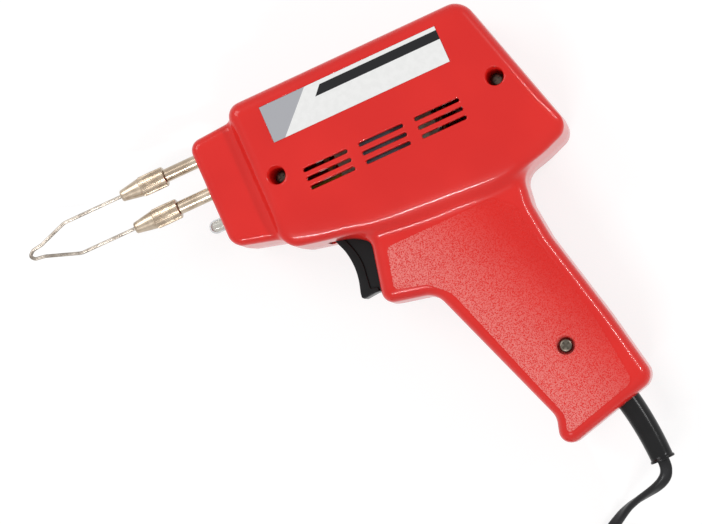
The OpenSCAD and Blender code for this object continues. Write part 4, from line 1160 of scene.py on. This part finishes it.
# the trigger: a wide lip in front of a narrower web, on a hub
triggerPlan = {
    "pivot": (-37.0, -34.003), "drop": 35.4, "wide": 12.3, "web": 10.0, "hub": 4.25, "bore": 1.55, "edge": 0.45,
    # both outlines are shares of the drop, from the pivot
    "lip": [(-0.19, -0.1), (-0.176, -0.2), (-0.124, -0.34), (-0.098, -0.48), (-0.094, -0.62), (-0.113, -0.76),
            (-0.155, -0.91), (-0.165, -0.972), (-0.138, -1), (0.02, -0.985), (0.085, -0.99), (0.082, -0.93),
            (-0.012, -0.91), (0.006, -0.76), (0.024, -0.62), (0.018, -0.48), (-0.014, -0.34), (-0.06, -0.2),
            (-0.08, -0.1)],
    "straight": (7, 12),  # the points of the lip's foot, joined by straight lines
    "webShares": [(-0.2, -0.06), (-0.15, -0.2), (-0.09, -0.34), (-0.06, -0.5), (-0.07, -0.75), (-0.12, -0.95),
                  (0.3, -0.97), (0.31, -0.55), (0.366, -0.54), (0.366, -0.36), (0.2, -0.05)],
}


def prism(name, outline, low, high, edge):
    n = len(outline)
    points = [(x, y, z) for z in (low, high) for x, y in outline]
    faces = [tuple(range(n))[::-1], tuple(range(n, 2 * n))]
    faces += [(i, (i + 1) % n, n + (i + 1) % n, n + i) for i in range(n)]
    piece = meshObject(name, points, faces)
    faceOutwards(piece)
    if edge:
        bevel = piece.modifiers.new("edge", "BEVEL")
        bevel.width, bevel.segments, bevel.limit_method, bevel.angle_limit = edge * mm, 3, "ANGLE", math.radians(38)
        bake(piece)
    return piece


def makeTrigger(plan):
    px, py = plan["pivot"]

    def slab(name, shares, wide, edge):
        outline = [(px + x * plan["drop"], py + y * plan["drop"]) for x, y, z in map(Vector, shares)]
        return prism(name, outline, mid - wide / 2, mid + wide / 2, edge)

    def drum(name, radius, half):
        low, high = mid - half, mid + half
        return turned(name, [(low, 0), (low, radius), (high, radius), (high, 0)], (px, py), "z")

    shares = [(x, y, 0) for x, y in plan["lip"]]
    foot, back = plan["straight"]
    lipLine = smoothLine(shares[:foot], 4) + shares[foot:back] + smoothLine(shares[back:], 4)
    lip = slab("trigger", lipLine, plan["wide"], plan["edge"])
    web = slab("web", [(x, y, 0) for x, y in plan["webShares"]], plan["web"], 0)
    combine(lip, web, "UNION")
    combine(lip, drum("hub", plan["hub"], plan["wide"] / 2), "UNION")
    combine(lip, drum("bore", plan["bore"], plan["wide"]))
    tidyShading(lip, 30)
    settle(lip, "trigger", ["trigger"], blackPlastic)


makeTrigger(triggerPlan)


# the return spring, a real coil
springPlan = {
    "front": (-25.63, -65.86),
    "sizes": {"turns": 9.0, "radius": 2.6 * mm, "length": 11.7 * mm, "wireRadius": 0.4 * mm},
}


def makeSpring(plan):
    t = Repeat("springCoil", plan["sizes"])
    s = t.size
    coil = t.add("GeometryNodeCurveSpiral", None,
                 {"Resolution": 28, "Rotations": s["turns"], "Start Radius": s["radius"], "End Radius": s["radius"],
                  "Height": s["length"]})
    ring = t.add("GeometryNodeCurvePrimitiveCircle", None, {"Resolution": 10, "Radius": s["wireRadius"]})
    wire = t.add("GeometryNodeCurveToMesh", None, {"Curve": coil, "Profile Curve": ring, "Fill Caps": True})
    lying = t.add("GeometryNodeTransform", None, {"Geometry": wire, "Rotation": (0, math.pi / 2, 0)})
    t.close(lying, springSteel)
    spring = shifted(t.run("triggerSpring"), *plan["front"], mid)
    tidyShading(spring, 60)
    settle(spring, "housing", ["trigger_spring"], springSteel)
    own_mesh(spring)


makeSpring(springPlan)
print("trigger and spring made")


# screws of the housing: pan heads with a cross cut into each
screwPlan = {"head": 3.15, "height": 2.35, "rim": 0.45, "round": 1.25, "shank": 1.68, "point": (0.5, 1.2),
             "taper": 1.4, "cross": (3.9, 0.9), "crossDeep": 1.3, "crossTurns": (20, 110)}


def makeScrews(plan):
    screws = []
    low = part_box("housing_screws")[0].z / mm
    r, h, shank = plan["head"], plan["height"], plan["shank"]
    for x, y, top, drop in screwPlaces:
        seat = top - drop
        rim = seat + h * plan["rim"]
        profile = [(low, 0), (low + plan["point"][0], plan["point"][1]), (low + plan["taper"], shank),
                   (seat, shank), (seat, r), (rim, r)]
        for a in (math.radians(30), math.radians(60), math.radians(90)):
            profile.append((rim + h * (1 - plan["rim"]) * math.sin(a), r - plan["round"] * (1 - math.cos(a))))
        screw = turned("screw", profile + [(seat + h, 0)], (x, y), "z", 48)
        long, wide = plan["cross"]
        for turn in plan["crossTurns"]:
            bar = boxPiece("bar", (-long / 2, -wide / 2, 0), (long / 2, wide / 2, 4))
            bar.data.transform(Matrix.Translation(Vector((x, y, seat + h - plan["crossDeep"])) * mm)
                               @ Matrix.Rotation(math.radians(turn), 4, "Z"))
            combine(screw, bar)
        screws.append(screw)
    screws = joined(screws)
    screws.name = "housingScrews"
    tidyShading(screws, 35)
    settle(screws, "housing", ["housing_screws"], shadeDarkSteel)


makeScrews(screwPlan)


# the strain relief: a tapered rubber sleeve with a lip round its mouth
sleevePlan = {"wide": 5.62, "narrow": 5.15, "lip": 5.66, "flange": 7.15, "length": 11.84, "inside": 1.7,
              "flangeThick": 0.7, "mouth": (3.6, 2.6), "mouthDeep": 2.6, "lipBack": 0.55}


def makeSleeve(plan):
    # angles along the bend, in degrees, from the sleeve's mouth
    last = plan["length"] + plan["inside"]
    face = last - plan["flangeThick"]
    circles = [(last, plan["flange"] * 0.5), (last, plan["flange"]), (face, plan["flange"]), (face, plan["wide"])]
    for share in (k / 24 for k in range(1, 25)):
        circles.append((face * (1 - share) + plan["lipBack"] * share,
                        plan["wide"] + (plan["narrow"] - plan["wide"]) * share ** 0.8))
    circles += [(angle, plan["lip"] - less)
                for angle, less in ((0.42, 0.12), (0.3, 0), (0.12, 0), (0.02, 0.2), (0, 0.7))]
    rings = [circleOnBend(angle, radius) for angle, radius in circles]
    wide, thick = plan["mouth"]
    rings += [ringOnBend(angle, wide + grow, thick + grow)
              for angle, grow in ((0.05, 0.35), (0.25, 0.0), (plan["mouthDeep"], -0.2))]
    sleeve = loftRings("strainRelief", rings)
    tidyShading(sleeve, 60)
    settle(sleeve, "housing", ["strain_relief"], sleeveRubber)


makeSleeve(sleevePlan)


# the plug, a flat moulded body with two round pins
plugPlan = {
    "back": (-105.3, -199.0), "height": 6.9, "length": 37.0,
    "pinGap": 18.6, "pinRadius": 1.99, "pinLength": 19.0, "rootRadius": 1.6, "rootLength": 7,
    "sections": [  # share of the length, width, thickness, and 1 for an ellipse or less for a fuller shape
        (0.0, 5.8, 5.8, 1), (0.01, 7.0, 7.0, 1), (0.1, 7.6, 7.4, 1), (0.19, 8.2, 8.0, 1), (0.25, 9.6, 9.2, 0.9),
        (0.3, 13.6, 11.6, 0.75), (0.36, 17.4, 12.8, 0.62), (0.46, 21.4, 13.4, 0.5), (0.58, 24.6, 13.6, 0.42),
        (0.7, 25.8, 13.6, 0.36), (0.84, 26, 13.6, 0.33), (0.955, 26, 13.6, 0.33), (0.985, 25.6, 13.2, 0.34),
        (1.0, 24.6, 12.3, 0.36)],
}


def makePlug(plan):
    bx, by = plan["back"]
    rings = [[(bx - share * plan["length"], by + fuller(c, power) * wide / 2,
               plan["height"] + fuller(s, power) * thick / 2) for c, s in ringPoints(1, 1, 48)]
             for share, wide, thick, power in plan["sections"]]
    plug = loftRings("plugBody", rings)
    tidyShading(plug, 40)
    settle(plug, "housing", ["plug_body"], plugPlastic)
    front = bx - plan["length"]
    end, root, r = front - plan["pinLength"], front + plan["rootLength"], plan["pinRadius"]
    profile = [(root, 0), (root, plan["rootRadius"]), (front, plan["rootRadius"]), (front, r), (end + 1.4, r),
               (end + 0.6, r - 0.25), (end + 0.15, r - 0.75), (end, r - 1.3), (end, 0)]
    pins = joined([turned("plugPins", profile, (by + side * plan["pinGap"] / 2, plan["height"]), sides=40)
                   for side in (-1, 1)])
    tidyShading(pins)
    settle(pins, "housing", ["plug_pins"], pinBrass)
    return plug, pins


plug, pins = makePlug(plugPlan)
settle(cord, "housing", ["mains_cord", "cord_coil"], cordRubber)
settle(coilTie, "housing", ["coil_tie"], tiePlastic)
tidyShading(cord, 60)
tidyShading(coilTie, 40)
[tuple(p * mm) for p in cordPoints]
print("sleeve, plug and cord settled")


# the frame's own pieces that keep their shape
ownFinishes = {
    "rating_plate": film, "core_e_sheets": coreSheets, "core_i_sheets": coreSheets, "coil_bobbin": bobbinPlastic,
    "primary_winding": copperTurns, "winding_wrap": wrapPaper, "secondary_strap": strapCopper, "nose_block": resin,
    "lamp_bulb": bulbGlass, "lamp_holder": creamPlastic, "lamp_leads": yellowWire, "trigger_pin": shadeDarkSteel,
    "switch_body": switchPlastic, "switch_plunger": plungerPlastic, "switch_terminals": brass,
    "switch_screws": shadeDarkSteel, "terminal_block": creamPlastic, "terminal_screws": shadeDarkSteel, "supply_leads": blueWire,
    "primary_leads": brownWire, "cord_clamp": creamPlastic, "clamp_screws": shadeDarkSteel, "cord_inner": cordRubber,
}
for node, finish in ownFinishes.items():
    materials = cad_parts[node].data.materials
    materials.clear()
    materials.append(finish.material)


# floor, world and lamps
studioPlan = {
    "floorHalf": 4000, "floorTop": -0.05, "floorGlow": 0.78, "floorShade": 0.28, "worldLight": 0.57,
    "lamps": {
        "topLeft": {"at": (-0.85, 0.9, 1.15), "size": (0.8, 0.8), "power": 8.0},
        "lowStrip": {"at": (-0.35, -0.85, 1.0), "size": (0.5, 0.04), "power": 5.0},
        "rearStrip": {"at": (0.95, 0.15, 0.7), "size": (0.5, 0.04), "power": 4.0},
    },
    "aim": (-0.02, -0.06, 0.03),
}


def makeStudio(plan):
    half, top = plan["floorHalf"], plan["floorTop"]
    floor = meshObject("floor", [(-half, -half, top), (half, -half, top), (half, half, top), (-half, half, top)],
                       [(0, 1, 2, 3)])
    f = Finish("floorPaper", roughness=0.9, specular=0.0)
    rays = f.node("ShaderNodeLightPath")
    seen = Signal(f, rays.outputs["Is Camera Ray"]).math("MAXIMUM", Signal(f, rays.outputs["Is Transmission Ray"]))
    # bright where it is seen, dim where it lights the gun from below
    f.set("colour", f.mix(seen, ink(240, 240, 240), (*[plan["floorShade"]] * 3, 1)))
    glow = f.add("ShaderNodeEmission", None, {"Strength": seen * plan["floorGlow"]})
    both = f.add("ShaderNodeAddShader", None, {0: Signal(f, f.shader.outputs[0]), 1: glow})
    white = f.add("ShaderNodeEmission", None, {"Strength": 1.0})
    mixed = f.add("ShaderNodeMixShader", None, {0: Signal(f, rays.outputs["Is Glossy Ray"]), 1: both, 2: white})
    f.tree.links.new(mixed.socket, f.ending.inputs[0])
    floor.data.materials.append(f.material)
    world = bpy.data.worlds.new("studio")
    bpy.context.scene.world = world
    world.use_nodes = True
    w = Wiring(world.node_tree)
    w.tree.nodes.clear()
    rays = w.node("ShaderNodeLightPath")
    seen = [Signal(w, rays.outputs[name]) for name in ("Is Camera Ray", "Is Glossy Ray", "Is Transmission Ray")]
    seen = seen[0].math("MAXIMUM", seen[1]).math("MAXIMUM", seen[2])
    strength = plan["worldLight"] + seen * (1 - plan["worldLight"])
    w.node("ShaderNodeOutputWorld", None, {0: w.add("ShaderNodeBackground", None, {"Strength": strength})})
    for name, lamp in plan["lamps"].items():
        data = bpy.data.lights.new(name, "AREA")
        data.shape, data.size, data.size_y, data.energy = "RECTANGLE", *lamp["size"], lamp["power"]
        holder = bpy.data.objects.new(name, data)
        towards = Vector(plan["aim"]) - Vector(lamp["at"])
        holder.matrix_world = Matrix.Translation(lamp["at"]) @ towards.to_track_quat("-Z", "Y").to_matrix().to_4x4()
        bpy.context.scene.collection.objects.link(holder)


makeStudio(studioPlan)
bpy.context.scene.view_settings.view_transform = "Standard"
print("studio lit")
